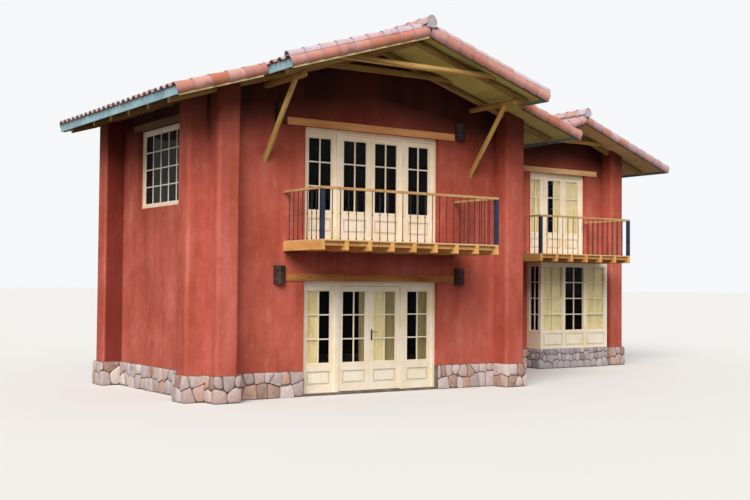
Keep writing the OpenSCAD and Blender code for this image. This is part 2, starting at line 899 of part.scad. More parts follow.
// Balconies, drawn with the wall face at y = 0 and the deck top at z = 0
module joist_row(w, d, count) {
    union() {
        for (i = [0 : count - 1]) {
            x = -w / 2 + joist_w / 2 + i * (w - joist_w) / (count - 1);
            box(x - joist_w / 2, x + joist_w / 2, -d, 0, -deck_t - joist_h, -deck_t);
        }
        box(-w / 2, w / 2, -d + joist_w * 3 / 4, -d + joist_w * 5 / 4, -deck_t - joist_h / 2, -deck_t);
    }
}

module at_balconies() {
    translate([0, -my, deck_z])
        children(0);
    translate([wr + wing_balcony_x, wy0, deck_z])
        children(1);
}

module balcony_joists() {
    color(wood)
        at_balconies() {
            joist_row(balcony_w, balcony_d, joists);
            joist_row(wing_balcony_w, wing_balcony_d, wing_joists);
        }
}

module balcony_decks() {
    color(wood)
        at_balconies() {
            box(-balcony_w / 2, balcony_w / 2, -balcony_d, 0, -deck_t, 0);
            box(-wing_balcony_w / 2, wing_balcony_w / 2, -wing_balcony_d, 0, -deck_t, 0);
        }
}

module corner_posts(w, d) {
    for (side = [-1, 1])
        box(side * (w / 2 - corner_w / 2) - corner_w / 2, side * (w / 2 - corner_w / 2) + corner_w / 2,
            -d, -d + corner_w, 0, rail_h - handrail_t);
}

module baluster() {
    cylinder(d = baluster_d, h = rail_h - handrail_t);
    translate([0, 0, 20])
        sphere(d = baluster_d * 1.9, $fn = 16);
    translate([0, 0, rail_h / 2])
        sphere(d = baluster_d * 1.9, $fn = 16);
}

module baluster_rows(w, d) {
    inner = w - 2 * corner_w;
    count = round(inner / baluster_step);
    for (i = [1 : count - 1])
        translate([-inner / 2 + i * inner / count, -d + corner_w / 2, 0])
            baluster();
    reach = d - corner_w;
    side_count = round(reach / baluster_step);
    for (side = [-1, 1], i = [1 : side_count - 1])
        translate([side * (w / 2 - corner_w / 2), -i * reach / side_count, 0])
            baluster();
}

module balcony_railings() {
    color(iron)
        at_balconies() {
            union() {
                corner_posts(balcony_w, balcony_d);
                baluster_rows(balcony_w, balcony_d);
            }
            union() {
                corner_posts(wing_balcony_w, wing_balcony_d);
                baluster_rows(wing_balcony_w, wing_balcony_d);
            }
        }
}

module handrail(w, d) {
    difference() {
        box(-w / 2, w / 2, -d, 0, rail_h - handrail_t, rail_h);
        box(-w / 2 + handrail_w, w / 2 - handrail_w, -d + handrail_w, 1, rail_h - handrail_t - 1, rail_h + 1);
    }
}

module balcony_handrails() {
    color([0.85, 0.65, 0.5])
        at_balconies() {
            handrail(balcony_w, balcony_d);
            handrail(wing_balcony_w, wing_balcony_d);
        }
}

// Logs
function main_rafter_ys() = concat(
    [for (k = [0 : 4]) -my - rafter_lead + k * rafter_step], [my + rafter_lead]);
function wing_rafter_ys() = concat(
    [for (k = [0 : 4]) wy0 - rafter_lead + k * rafter_step], [wy1 + rafter_lead]);

// A log under a slope, from the ridge plane out to a distance, on the +X side
module rafter(y, reach, ridge_z, pitch) {
    drop = (rafter_d / 2 + seat) / cos(pitch);
    intersection() {
        translate([0, y, ridge_z - drop])
            rotate([0, 90 + pitch, 0])
                translate([0, 0, -200])
                    cylinder(d = rafter_d, h = reach / cos(pitch) + 400);
        box(seat / 2, reach, y - rafter_d, y + rafter_d, 0, ridge_z);
    }
}

module main_rafters() {
    color(log_wood)
        for (side = [-1, 1])
            scale([side, 1, 1]) {
                rafter(-my - balcony_d, porch_w / 2 - tail_back, main_ridge_z, main_pitch);
                for (y = main_rafter_ys())
                    rafter(y, main_eave - tail_back, main_ridge_z, main_pitch);
            }
}

module wing_rafters() {
    color(log_wood)
        translate([wr, 0, 0])
            for (y = wing_rafter_ys()) {
                rafter(y, wing_eave - tail_back, wing_ridge_z, wing_pitch);
                scale([-1, 1, 1])
                    rafter(y, y < my ? wr - mx - seat : wr - cat_x - tail_back, wing_ridge_z, wing_pitch);
            }
}

module collar(y, ridge_z, pitch, z) {
    reach = (ridge_z - z) / tan(pitch) - rafter_d / 2 / sin(pitch);
    difference() {
        translate([-reach, y, z])
            rotate([0, 90, 0])
                cylinder(d = collar_d, h = 2 * reach);
        for (side = [-1, 1])
            scale([side, 1, 1])
                translate([0, y, ridge_z - (rafter_d / 2 + seat) / cos(pitch)])
                    rotate([0, 90 + pitch, 0])
                        cylinder(d = rafter_d + 2 * seat, h = 2 * reach);
    }
}

module collar_logs() {
    color(log_wood) {
        for (y = [-my - balcony_d, -my - rafter_lead])
            collar(y, main_ridge_z, main_pitch, main_ridge_z - main_collar_drop);
        translate([wr, 0, 0])
            collar(wy0 - rafter_lead, wing_ridge_z, wing_pitch, wing_ridge_z - wing_collar_drop);
    }
}

purlin_z = main_under(purlin_x) - (rafter_d + purlin_d / 2 + 2 * seat) / cos(main_pitch);

module porch_purlins() {
    color(log_wood)
        for (side = [-1, 1])
            translate([side * purlin_x, -my, purlin_z])
                rotate([90, 0, 0])
                    cylinder(d = purlin_d, h = purlin_out);
}

module knee_braces() {
    foot = floor_z + brace_foot;
    rise = purlin_z - foot;
    lean = atan2(brace_out, rise);
    run = norm([brace_out, rise]);
    color(log_wood)
        for (side = [-1, 1])
            difference() {
                translate([side * purlin_x, -my, foot])
                    rotate([lean, 0, 0])
                        translate([0, 0, -120])
                            cylinder(d = brace_d, h = run + 120);
                box(side * purlin_x - 200, side * purlin_x + 200, -my, -my + 400, foot - 400, foot + 400);
                translate([side * purlin_x, -my + 1, purlin_z])
                    rotate([90, 0, 0])
                        cylinder(d = purlin_d + 2 * seat, h = purlin_out);
            }
}

// Roofs: a layer of one slope on the +X side, from the ridge out to a reach. The two slopes
// stay a seat apart at the ridge, and each layer a seat above the one under it.
// Its lower part ends behind the fascia, and above the given rise it reaches out over it.
module layer(reach, y0, y1, ridge_z, slope, low, high, rise) {
    inner = reach - tile_lip - fascia_t - seat;
    edge = rise > 0
        ? [[inner, low], [inner, low + rise], [reach, low + rise], [reach, high]]
        : [[inner, low], [inner, high]];
    across(y0, y1)
        polygon([for (p = concat([[seat / 2, low]], edge, [[seat / 2, high]]))
            [p[0], ridge_z - slope * p[0] + p[1]]]);
}

module main_layer(low, high, rise) {
    for (side = [-1, 1])
        scale([side, 1, 1])
            union() {
                layer(main_eave, -my - verge_out, my + back_out,
                    main_ridge_z, main_slope, low, high, rise);
                layer(porch_w / 2, -my - porch_out, -my - verge_out,
                    main_ridge_z, main_slope, low, high, rise);
            }
}

module main_boards() {
    color(board_colour)
        main_layer(0, main_board_v, 0);
}

module main_tiles() {
    color(tile)
        main_layer(main_board_v + seat, main_tile_v, fascia_rise);
}

wing_y0 = wy0 - wing_verge_out;
wing_y1 = wy1 + back_out;
// The wing's left slope ends at the main block's wall, under its eave, and runs on behind it
module wing_layer(low, high, rise) {
    translate([wr, 0, 0]) {
        scale([-1, 1, 1])
            difference() {
                layer(wr - cat_x, wing_y0, wing_y1, wing_ridge_z, wing_slope, low, high, rise);
                box(wr - mx - seat, wr, wing_y0 - 1, my + seat, 0, wing_ridge_z);
            }
        layer(wing_eave, wing_y0, wing_y1, wing_ridge_z, wing_slope, low, high, rise);
    }
}

module wing_boards() {
    color(board_colour)
        wing_layer(0, wing_board_v, 0);
}

module wing_tiles() {
    color(tile)
        wing_layer(wing_board_v + seat, wing_tile_v, fascia_rise);
}

// Half round ridge cap bedded on the tiles
module ridge_cap(y0, y1, top_z, slope) {
    centre = top_z + slope * cap_r;
    across(y0, y1)
        union() {
            intersection() {
                translate([0, centre])
                    circle(r = cap_r, $fn = 48);
                translate([-cap_r, centre])
                    square([2 * cap_r, cap_r]);
            }
            polygon([[-cap_r, centre], [-cap_r, top_z - slope * cap_r], [0, top_z],
                [cap_r, top_z - slope * cap_r], [cap_r, centre]]);
        }
}

module ridge_caps() {
    color(tile) {
        ridge_cap(-my - porch_out, my + back_out, main_ridge_z + main_tile_v + seat, main_slope);
        translate([wr, 0, 0])
            ridge_cap(wing_y0, wing_y1, wing_ridge_z + wing_tile_v + seat, wing_slope);
    }
}

// Fascia along an eave on the +X side
module fascia(reach, y0, y1, ridge_z, slope, board_v) {
    x1 = reach - tile_lip;
    x0 = x1 - fascia_t;
    across(y0, y1)
        polygon([[x0, ridge_z - slope * x0 - fascia_drop], [x1, ridge_z - slope * x0 - fascia_drop],
            [x1, ridge_z - slope * x1 + board_v + fascia_rise],
            [x0, ridge_z - slope * x0 + board_v + fascia_rise]]);
}

module fascias() {
    color(blue) {
        for (side = [-1, 1])
            scale([side, 1, 1]) {
                fascia(main_eave, -my - verge_out, my + back_out, main_ridge_z, main_slope, main_board_v);
                fascia(porch_w / 2, -my - porch_out, -my - verge_out - seat,
                    main_ridge_z, main_slope, main_board_v);
            }
        translate([wr, 0, 0]) {
            fascia(wing_eave, wing_y0, wing_y1, wing_ridge_z, wing_slope, wing_board_v);
            scale([-1, 1, 1])
                fascia(wr - cat_x, my + seat, wing_y1, wing_ridge_z, wing_slope, wing_board_v);
        }
    }
}

// Half round wall lamps of punched iron, beside the lintels of the main units
lamp_x = unit_w / 2 + lintel_bear + lamp_gap + lamp_r;
lamp_zs = [unit_top(ground_sill) - lamp_h / 6, unit_top(upper_sill) + lamp_h / 18];

module lamp() {
    difference() {
        cylinder(r = lamp_r, h = lamp_h);
        translate([0, 0, -1])
            cylinder(r = lamp_r - lamp_t, h = lamp_h + 2);
        box(-lamp_r - 1, lamp_r + 1, 0, lamp_r + 1, -1, lamp_h + 1);
    }
    box(-lamp_r, lamp_r, -lamp_t, 0, 0, lamp_h);
}

module wall_lamps() {
    color(iron)
        for (side = [-1, 1], z = lamp_zs)
            translate([side * lamp_x, -my, z])
                lamp();
}

main_plinth();
wing_plinth();
ground_floor();
upper_floor();
front_wall_left();
front_wall_right();
front_wall_middle();
front_gable();
front_buttresses();
left_wall();
right_wall();
back_wall();
wing_front_wall();
wing_side_wall();
wing_back_wall();
wing_inner_wall();
lintels();
door_frame();
door_leaf_left();
door_leaf_right();
door_hinges();
door_handles();
upper_door_frames();
fixed_leaves();
window_frames();
bay_base();
bay_window();
glass();
door_glass_left();
door_glass_right();
shutters();
door_shutter_left();
door_shutters_right();
balcony_joists();
balcony_decks();
balcony_railings();
balcony_handrails();
main_rafters();
wing_rafters();
collar_logs();
porch_purlins();
knee_braces();
main_boards();
main_tiles();
wing_boards();
wing_tiles();
ridge_caps();
fascias();
wall_lamps();
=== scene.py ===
import math
import random

import bmesh
import bpy
from bmesh.types import BMEdge, BMFace, BMVert
from mathutils import Matrix, Vector


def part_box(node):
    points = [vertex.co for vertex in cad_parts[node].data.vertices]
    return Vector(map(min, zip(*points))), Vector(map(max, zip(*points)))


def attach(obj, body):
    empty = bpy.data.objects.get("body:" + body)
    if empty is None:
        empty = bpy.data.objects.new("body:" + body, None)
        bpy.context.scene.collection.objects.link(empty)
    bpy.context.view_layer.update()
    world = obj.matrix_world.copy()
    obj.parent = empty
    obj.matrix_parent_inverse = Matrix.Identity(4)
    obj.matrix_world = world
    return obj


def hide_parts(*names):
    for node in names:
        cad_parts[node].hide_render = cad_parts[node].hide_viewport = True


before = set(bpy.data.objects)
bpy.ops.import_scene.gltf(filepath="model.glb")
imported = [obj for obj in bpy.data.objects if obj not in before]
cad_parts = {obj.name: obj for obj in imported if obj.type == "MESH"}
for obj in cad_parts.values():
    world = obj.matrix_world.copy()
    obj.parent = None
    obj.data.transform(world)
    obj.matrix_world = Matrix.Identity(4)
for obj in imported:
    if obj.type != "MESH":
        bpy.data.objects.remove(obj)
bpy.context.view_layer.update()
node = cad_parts

# Sizes of the frame that the small pieces are fitted to, in metres
WALL, BUTTRESS, PLINTH_HIGH = 0.455, 0.41, 0.5
MAIN_X, MAIN_Y = 3.7, 2.27
WING_X1, WING_Y0, WING_Y1 = 10.69, 1.39, 5.93
MAIN_EAVE, PORCH_EAVE, WING_EAVE = 4.856, 3.095, 3.246
VALLEY_REACH, CATSLIDE_REACH = 4.9, 5.5
PORCH_Y, VERGE_Y, BACK_Y = -4.175, -3.32, 2.73
WING_FRONT_Y, WING_BACK_Y = 0.25, 6.39
BOARD, TILE_TOP = 0.03, 0.185
TILE_OVER, FASCIA_T, EDGE_IN = 0.05, 0.022, 0.042
RAFTER_LEAD, RAFTER_STEP, RAFTER_SPANS, TAIL_BACK = 0.25, 0.93, 5, 0.24
PURLIN_X, PURLIN_OUT, BRACE_OUT, BRACE_FOOT = 2.515, 1.44, 1.1, 4.57
GROUND_SILL, UPPER_SILL, FLOOR = 0.04, 3.06, 3.0
REVEAL, FRAME_W, FRAME_D, LEAF_T = 0.1, 0.06, 0.08, 0.045
STILE, KICK, UNIT_H, HEAD = 0.095, 0.57, 2.195, 0.09
UNIT_W, WING_UNIT_W, POST, POST_X = 3.265, 2.05, 0.09, 0.8
LEAF_GAP, WING_POST_IN = 0.006, 0.62
WINDOW_W, VALLEY_WINDOW_W, WINDOW_H = 2.1, 1.3, 1.61
SILL_UP, VALLEY_WINDOW_Y = 0.7, 0.7
BAY_X0, BAY_X1, BAY_OUT = 7.47, 9.93, 0.535
BAY_SILL, BAY_TOP, BAY_POST, BAY_BASE = 1.0, 2.805, 0.1, 0.52
DECK_T = 0.03

# Each roof: the X of its ridge, the ridge's height under the boards, the pitch
MAIN_ROOF = (0.0, 6.94, math.radians(17.2))
WING_ROOF = (8.6, 6.5598, math.radians(19.4))
WING_RIDGE_X = WING_ROOF[0]
# Each block's plan, and each balcony's deck: left, right, wall behind it, depth
BLOCKS = ((-MAIN_X, -MAIN_Y, MAIN_X, MAIN_Y), (MAIN_X, WING_Y0, WING_X1, WING_Y1))
PORCH_DEPTH = 1.395
DECKS = ((-2.11, 2.11, -MAIN_Y, PORCH_DEPTH), (6.37, 9.58, WING_Y0, 1.7))

# finishes
ALONG_X, ALONG_Y, ALONG_Z = (0.25, 3.0, 3.0), (3.0, 0.25, 3.0), (3.0, 3.0, 0.25)
ALONG_BATTEN, ALONG_RAIL = (0.4, 0.4, 3.0), (1.6, 1.6, 3.0)
# How far under each ridge the painted shade under the gables is set
EAVE_SHADE_DOWN = 1.15
SHADE_REACH = 2.05
ROOM_INSET = REVEAL + FRAME_D + 0.005
# Colour of the painted shade inside the rooms
ROOM_SHADE_TINT = (0.03, 0.02, 0.017)


def shaded(colour, share):
    return tuple(share * c for c in colour)


class Finish:
    """A material made of nodes: one shader and the patterns that feed it."""

    def __init__(self, name, rough=0.8, specular=0.3):
        self.material = bpy.data.materials.new(name)
        self.material.use_nodes = True
        self.tree = self.material.node_tree
        self.shader = self.tree.nodes["Principled BSDF"]
        self.shader.inputs["Roughness"].default_value = rough
        self.shader.inputs["Specular IOR Level"].default_value = specular
        self.place = self.tree.nodes.new("ShaderNodeTexCoord").outputs["Object"]

    def feed(self, socket, value):
        if isinstance(value, bpy.types.NodeSocket):
            self.tree.links.new(value, socket)
        else:
            socket.default_value = value

    def add(self, kind, inputs, **settings):
        made = self.tree.nodes.new("ShaderNode" + kind)
        for key, value in settings.items():
            setattr(made, key, value)
        for key, value in inputs.items():
            self.feed(made.inputs[key], value)
        return made

    def follow_grain(self):
        """Patterns follow each log's own grain, kept in an attribute."""
        self.place = self.add("Attribute", {}, attribute_name="grain").outputs["Vector"]

    def stretch(self, x, y, z):
        return self.add("Mapping", {"Vector": self.place, "Scale": (x, y, z)}).outputs[0]

    def noise(self, scale, detail=4.0, rough=0.55, vector=None, warp=0.0):
        made = self.add("TexNoise", {"Vector": vector or self.place, "Scale": scale, "Detail": detail,
                                     "Roughness": rough, "Distortion": warp})
        return made.outputs[0]

    def spots(self, *stretch):
        """Distance from scattered points, for knots."""
        return self.add("TexVoronoi", {"Vector": self.stretch(*stretch), "Scale": 1.0}).outputs["Distance"]

    def attribute(self, name):
        return self.add("Attribute", {}, attribute_name=name).outputs["Fac"]

    def maths(self, operation, a, b=0.0):
        return self.add("Math", {0: a, 1: b}, operation=operation).outputs[0]

    def times(self, a, b):
        return self.maths("MULTIPLY", a, b)

    def weigh(self, *parts):
        """Sum of patterns, each times its share."""
        total = self.times(*parts[0])
        for pattern, share in parts[1:]:
            total = self.maths("ADD", total, self.times(pattern, share))
        return total

    def drift(self, value, pattern, share):
        """A value moved up and down by a pattern."""
        return self.maths("ADD", value, self.times(self.maths("SUBTRACT", pattern, 0.5), share))

    def fit(self, value, low, high, to_low=0.0, to_high=1.0):
        return self.add("MapRange", {"Value": value, "From Min": low, "From Max": high,
                                     "To Min": to_low, "To Max": to_high}).outputs[0]

    def ramp(self, fac, *stops):
        made = self.add("ValToRGB", {"Fac": fac})
        steps = made.color_ramp.elements
        while len(steps) < len(stops):
            steps.new(0.5)
        for step, (at, colour) in zip(steps, stops):
            step.position = at
            step.color = (*colour, 1)
        return made.outputs["Color"]

    def mix(self, fac, a, b):
        made = self.add("Mix", {0: fac}, data_type="RGBA")
        for socket, value in ((made.inputs[6], a), (made.inputs[7], b)):
            self.feed(socket, value if isinstance(value, bpy.types.NodeSocket) else (*value, 1))
        return made.outputs[2]

    def tint(self, colour, mask, share, other):
        return self.mix(self.times(mask, share), colour, other)

    def split(self, index):
        return self.add("SeparateXYZ", {0: self.place}).outputs[index]

    def gable_line(self, mid, high, fall):
        """Height of a line that falls to both sides of a gable's middle."""
        aside = self.maths("ABSOLUTE", self.maths("SUBTRACT", self.split(0), mid))
        return self.maths("SUBTRACT", high, self.times(aside, fall))

    def within(self, low, high):
        """One inside an upright shaft between two corners of the plan, nothing outside it."""
        shares = [self.add("Math", {0: self.split(i), 1: (low[i] + high[i]) / 2, 2: (high[i] - low[i]) / 2},
                           operation="COMPARE").outputs[0] for i in (0, 1)]
        return self.times(*shares)

    def blocks(self, grow):
        """One inside either block's plan, grown by a distance or, below zero, shrunk."""
        return self.maths("MAXIMUM", *[self.within((x0 - grow, y0 - grow), (x1 + grow, y1 + grow))
                                       for x0, y0, x1, y1 in BLOCKS])

    def relief(self, *layers):
        """Bumps from the coarsest to the finest: (height, depth in metres)."""
        normal = None
        for height, depth in layers:
            inputs = {"Height": height, "Strength": 1.0, "Distance": depth}
            if normal:
                inputs["Normal"] = normal
            normal = self.add("Bump", inputs).outputs[0]
        self.feed(self.shader.inputs["Normal"], normal)

    def done(self, colour, rough=None):
        self.feed(self.shader.inputs["Base Color"], colour)
        if rough is not None:
            self.feed(self.shader.inputs["Roughness"], rough)
        return self.material


def adobe_finish():
    """Red earthen plaster: streaked and chalky, splashed at the foot, with painted shade under the roofs,
    under the main balcony, on the rear buttress and in the rooms.
    """
    f = Finish("adobe", 0.92, 0.2)
    blotches = f.noise(0.5, 3, 0.6, warp=0.7)
    streaks = f.noise(1.0, 5, 0.62, f.stretch(2.4, 2.4, 0.36), 0.5)
    mottle = f.noise(6.0, 6, 0.68)
    height = f.split(2)
    tone = f.weigh((blotches, 0.45), (streaks, 0.38), (mottle, 0.17))
    colour = f.ramp(tone, (0.33, (0.27, 0.043, 0.022)), (0.45, (0.41, 0.081, 0.05)),
                    (0.56, (0.52, 0.119, 0.083)), (0.68, (0.62, 0.19, 0.145)))
    chalk = f.fit(f.noise(3.4, 6, 0.72, f.stretch(1.6, 1.6, 0.7)), 0.56, 0.72)
    colour = f.tint(colour, chalk, 0.4, (0.68, 0.25, 0.18))
    splash = f.times(f.fit(height, 1.3, 0.45), f.noise(2.2, 5, 0.6))
    colour = f.tint(colour, splash, 0.3, (0.4, 0.09, 0.055))
    # Painted shade under both gables, darkest near the roof, weaker on the buttresses, which stand out of the
    # porch's cover
    eave_shade_lines = [f.gable_line(mid, ridge_z - EAVE_SHADE_DOWN * share, 0.5 * math.tan(pitch))
                  for (mid, ridge_z, pitch), share in ((MAIN_ROOF, 1.0), (WING_ROOF, 0.75))]
    over = f.maths("SUBTRACT", height, f.maths("MAXIMUM", *eave_shade_lines))
    eave_shade = f.times(f.fit(over, -0.5, 0.25), f.fit(streaks, 0.3, 0.6, 0.85, 1.0))
    eave_shade = f.times(eave_shade, f.fit(f.blocks(0.05), 0.0, 1.0, 0.55, 0.95))
    colour = f.mix(f.fit(over, -1.6, -0.5, 0.0, 0.35), colour, (0.14, 0.02, 0.012))
    colour = f.mix(eave_shade, colour, (0.02, 0.005, 0.004))
    # A painted shadow strip on the front of the rear buttress
    shadow_strip_x, shadow_strip_y = -MAIN_X - BUTTRESS - 0.02, MAIN_Y - WALL
    buttress_shadow = f.within((shadow_strip_x, shadow_strip_y - 0.03), (-MAIN_X - 0.005, shadow_strip_y + 0.01))
    colour = f.mix(f.times(buttress_shadow, f.fit(streaks, 0.3, 0.6, 0.6, 0.8)), colour, (0.1, 0.008, 0.005))
    # Painted shade on the front wall under the main balcony
    on_front = f.within((-SHADE_REACH, -MAIN_Y - 0.03), (SHADE_REACH, -MAIN_Y + 0.03))
    under = f.times(f.fit(height, FLOOR - 0.5, FLOOR - 0.1), f.fit(height, FLOOR + 0.02, FLOOR - 0.02))
    colour = f.tint(colour, f.times(on_front, under), 0.7, (0.07, 0.01, 0.008))
    # Painted shade on the inner faces of the rooms and of the bay's opening
    in_bay = f.within((BAY_X0 + 0.05, WING_Y0 - 0.02), (BAY_X1 - 0.05, WING_Y0 + WALL))
    in_bay = f.times(in_bay, f.maths("LESS_THAN", height, BAY_TOP))
    colour = f.mix(f.maths("MAXIMUM", in_bay, f.blocks(-ROOM_INSET)), colour, ROOM_SHADE_TINT)
    f.relief((f.noise(1.4, 3, 0.5), 0.035), (f.noise(9.0, 5, 0.6), 0.006), (f.noise(60.0, 4, 0.6), 0.0012))
    return f.done(colour, f.fit(mottle, 0.3, 0.7, 0.86, 0.97))


def wood_finish(name, stretch, tones, rough=0.75, knots=0.0):
    """Timber whose grain runs along the axis with the smallest stretch."""
    f = Finish(name, rough)
    light, mid, dark = tones
    along = f.stretch(*stretch)
    figure = f.noise(2.2, 4, 0.6, along, 1.2)
    fibre = f.noise(14.0, 5, 0.65, along, 0.3)
    tone = f.weigh((figure, 0.5), (fibre, 0.35), (f.noise(1.3, 3, 0.5), 0.15))
    colour = f.ramp(tone, (0.33, dark), (0.48, mid), (0.64, light))
    if knots:
        spots = f.spots(*(2.2 * s / max(stretch) + 1.1 for s in stretch))
        colour = f.tint(colour, f.fit(spots, 0.13, 0.03), knots, shaded(dark, 0.35))
    f.relief((figure, 0.002), (fibre, 0.0012))
    return f.done(colour, f.fit(fibre, 0.3, 0.7, rough - 0.1, rough + 0.12))


def limed_finish(name, shade=1.0):
    """Cream lime wash rubbed into timber, with ochre showing through along the grain."""
    f = Finish(name, 0.55)
    fibre = f.noise(9.0, 6, 0.7, f.stretch(*ALONG_Z), 0.4)
    patch = f.noise(1.9, 4, 0.62)
    washes = (0.34, (0.86, 0.72, 0.5)), (0.5, (0.93, 0.82, 0.64)), (0.66, (0.95, 0.89, 0.78))
    base = f.ramp(patch, *[(at, shaded(wash, shade)) for at, wash in washes])
    rub = f.fit(f.weigh((fibre, 0.65), (patch, 0.35)), 0.52, 0.7)
    colour = f.tint(base, rub, 0.5, shaded((0.66, 0.44, 0.23), shade))
    f.relief((fibre, 0.0011), (f.noise(45.0, 3, 0.5), 0.0004))
    return f.done(colour, f.fit(fibre, 0.3, 0.7, 0.45, 0.68))


def log_finish():
    """Peeled logs: golden where tone is high, bark brown where it is low; the low tone of the rafters behind
    the front wall is painted shade under the eaves.
    """
    f = Finish("peeled_log", 0.72)
    f.follow_grain()
    along = f.stretch(0.35, 5.0, 5.0)
    figure = f.noise(1.6, 4, 0.6, along, 1.0)
    fibre = f.noise(7.0, 5, 0.65, along, 0.3)
    cracks = f.noise(1.0, 2, 0.4, f.stretch(0.5, 22.0, 22.0), 0.2)
    mixed = f.weigh((figure, 0.45), (fibre, 0.25), (f.noise(1.1, 4, 0.65), 0.3))
    golden = f.ramp(mixed, (0.33, (0.3, 0.145, 0.03)), (0.48, (0.58, 0.33, 0.09)),
                    (0.64, (0.74, 0.48, 0.17)))
    dark = f.ramp(mixed, (0.33, (0.055, 0.034, 0.014)), (0.48, (0.15, 0.095, 0.034)),
                  (0.66, (0.3, 0.2, 0.08)))
    colour = f.mix(f.attribute("tone"), dark, golden)
    colour = f.tint(colour, f.fit(f.spots(1.9, 6.0, 6.0), 0.16, 0.05), 0.75, (0.06, 0.028, 0.01))
    colour = f.tint(colour, f.fit(cracks, 0.62, 0.68), 0.6, (0.05, 0.026, 0.012))
    f.relief((figure, 0.004), (fibre, 0.002), (cracks, 0.002))
    return f.done(colour, f.fit(fibre, 0.3, 0.7, 0.62, 0.85))


def cut_end_finish():
    """Sawn ends of logs, with their growth rings."""
    f = Finish("cut_log_end", 0.8)
    f.follow_grain()
    rings = f.add("TexWave", {"Vector": f.stretch(0.0, 1.0, 1.0), "Scale": 28.0, "Distortion": 1.4,
                              "Detail": 2.0}, wave_type="RINGS", rings_direction="X").outputs["Fac"]
    f.relief((rings, 0.0008))
    return f.done(f.mix(rings, (0.78, 0.6, 0.36), (0.6, 0.4, 0.19)))


def rubble_finish(name, *stops):
    """Stones whose colour follows their tone, with pale and dark specks."""
    f = Finish(name, 0.85)
    speck = f.noise(38.0, 5, 0.7)
    cloud = f.noise(7.0, 5, 0.65, warp=0.8)
    colour = f.ramp(f.drift(f.attribute("tone"), cloud, 0.35), *stops)
    colour = f.mix(f.fit(speck, 0.5, 0.75, 0.0, 0.4), colour, (0.8, 0.73, 0.68))
    colour = f.mix(f.fit(speck, 0.4, 0.26, 0.0, 0.35), colour, (0.2, 0.15, 0.13))
    f.relief((cloud, 0.014), (speck, 0.003))
    return f.done(colour, f.fit(cloud, 0.3, 0.7, 0.75, 0.95))


def mortar_finish():
    f = Finish("mortar", 0.95, 0.15)
    f.relief((f.noise(12.0, 4, 0.6), 0.01), (f.noise(55.0, 5, 0.7), 0.002))
    return f.done(f.ramp(f.noise(4.0, 5, 0.6), (0.35, (0.11, 0.085, 0.07)), (0.65, (0.25, 0.2, 0.165))))


def clay_finish(name, stops, bloom_tint=(0.68, 0.55, 0.57), bloom_most=0.55):
    """Fired clay with pale bloom, mortar smeared at the laps and dark moss spots."""
    f = Finish(name, 0.82)
    cloud = f.noise(5.0, 5, 0.65, warp=0.5)
    fine = f.noise(34.0, 5, 0.65)
    colour = f.ramp(f.drift(f.attribute("tone"), cloud, 0.45), *stops)
    colour = f.tint(colour, f.fit(f.noise(2.6, 6, 0.72), 0.48, 0.68), bloom_most, bloom_tint)
    edge = f.drift(f.attribute("along"), fine, 0.12)
    colour = f.tint(colour, f.fit(edge, 0.955, 1.0), 0.8, (0.36, 0.29, 0.33))
    colour = f.tint(colour, f.fit(edge, 0.24, 0.14), 0.6, (0.3, 0.22, 0.24))
    moss = f.fit(f.weigh((cloud, 0.6), (fine, 0.4)), 0.43, 0.33)
    colour = f.tint(colour, moss, 0.55, (0.12, 0.065, 0.06))
    f.relief((cloud, 0.004), (fine, 0.0012))
    return f.done(colour, f.fit(fine, 0.3, 0.7, 0.72, 0.92))


def soffit_finish(name, low, mid, high):
    """Roof boards limewashed from below, each board a little apart in tone."""
    f = Finish(name, 0.9, 0.15)
    fibre = f.noise(12.0, 5, 0.6, f.stretch(3.0, 0.3, 3.0), 0.3)
    mixed = f.weigh((f.noise(1.1, 4, 0.6), 0.6), (fibre, 0.25), (f.attribute("tone"), 0.15))
    f.relief((f.noise(5.0, 4, 0.5), 0.004), (fibre, 0.0014))
    return f.done(f.ramp(mixed, (0.32, low), (0.5, mid), (0.68, high)))


def fascia_finish():
    """Light blue paint with dark drips that hang from its top edge under the pans."""
    f = Finish("fascia_blue", 0.55)
    colour = f.ramp(f.noise(2.0, 5, 0.6), (0.35, (0.2, 0.33, 0.38)), (0.52, (0.27, 0.43, 0.49)),
                    (0.68, (0.38, 0.54, 0.6)))
    drip = f.noise(1.0, 3, 0.6, f.stretch(1.0, 11.0, 0.7))
    high = f.fit(f.attribute("along"), 0.25, 1.0)
    stain = f.times(f.fit(f.maths("ADD", drip, f.times(high, 0.2)), 0.52, 0.66), high)
    f.relief((f.noise(22.0, 4, 0.6), 0.001))
    return f.done(f.tint(colour, stain, 0.9, (0.06, 0.07, 0.05)))


def iron_finish(name, colour, rust=0.3, rough=0.5):
    f = Finish(name, rough, 0.5)
    f.shader.inputs["Metallic"].default_value = 0.35
    spots = f.noise(26.0, 6, 0.7)
    paint = f.mix(f.fit(f.noise(6.0, 4, 0.6), 0.4, 0.65), colour, tuple(1.7 * c + 0.008 for c in colour))
    f.relief((spots, 0.0006))
    return f.done(f.tint(paint, f.fit(spots, 0.56, 0.68), rust, (0.16, 0.055, 0.025)),
                  f.fit(spots, 0.35, 0.65, rough - 0.08, rough + 0.2))


def glass_finish():
    """Clear window panes, a little wavy."""
    f = Finish("window_glass", 0.02, 0.2)
    f.shader.inputs["IOR"].default_value = 1.12
    f.shader.inputs["Transmission Weight"].default_value = 1.0
    f.relief((f.noise(3.0, 2, 0.5), 0.0015))
    return f.done(f.ramp(f.noise(4.0, 4, 0.6), (0.3, (0.88, 0.88, 0.87)), (0.7, (0.95, 0.95, 0.94))))


def dim_glass_finish():
    """Painted shade: opaque near-black panes of the side and back windows, standing in for the dark closed
    rooms behind them.
    """
    f = Finish("painted_shade_window_glass", 0.05, 0.15)
    f.shader.inputs["IOR"].default_value = 1.15
    return f.done(f.ramp(f.noise(1.5, 4, 0.6), (0.35, (0.012, 0.011, 0.012)), (0.65, (0.03, 0.03, 0.034))))


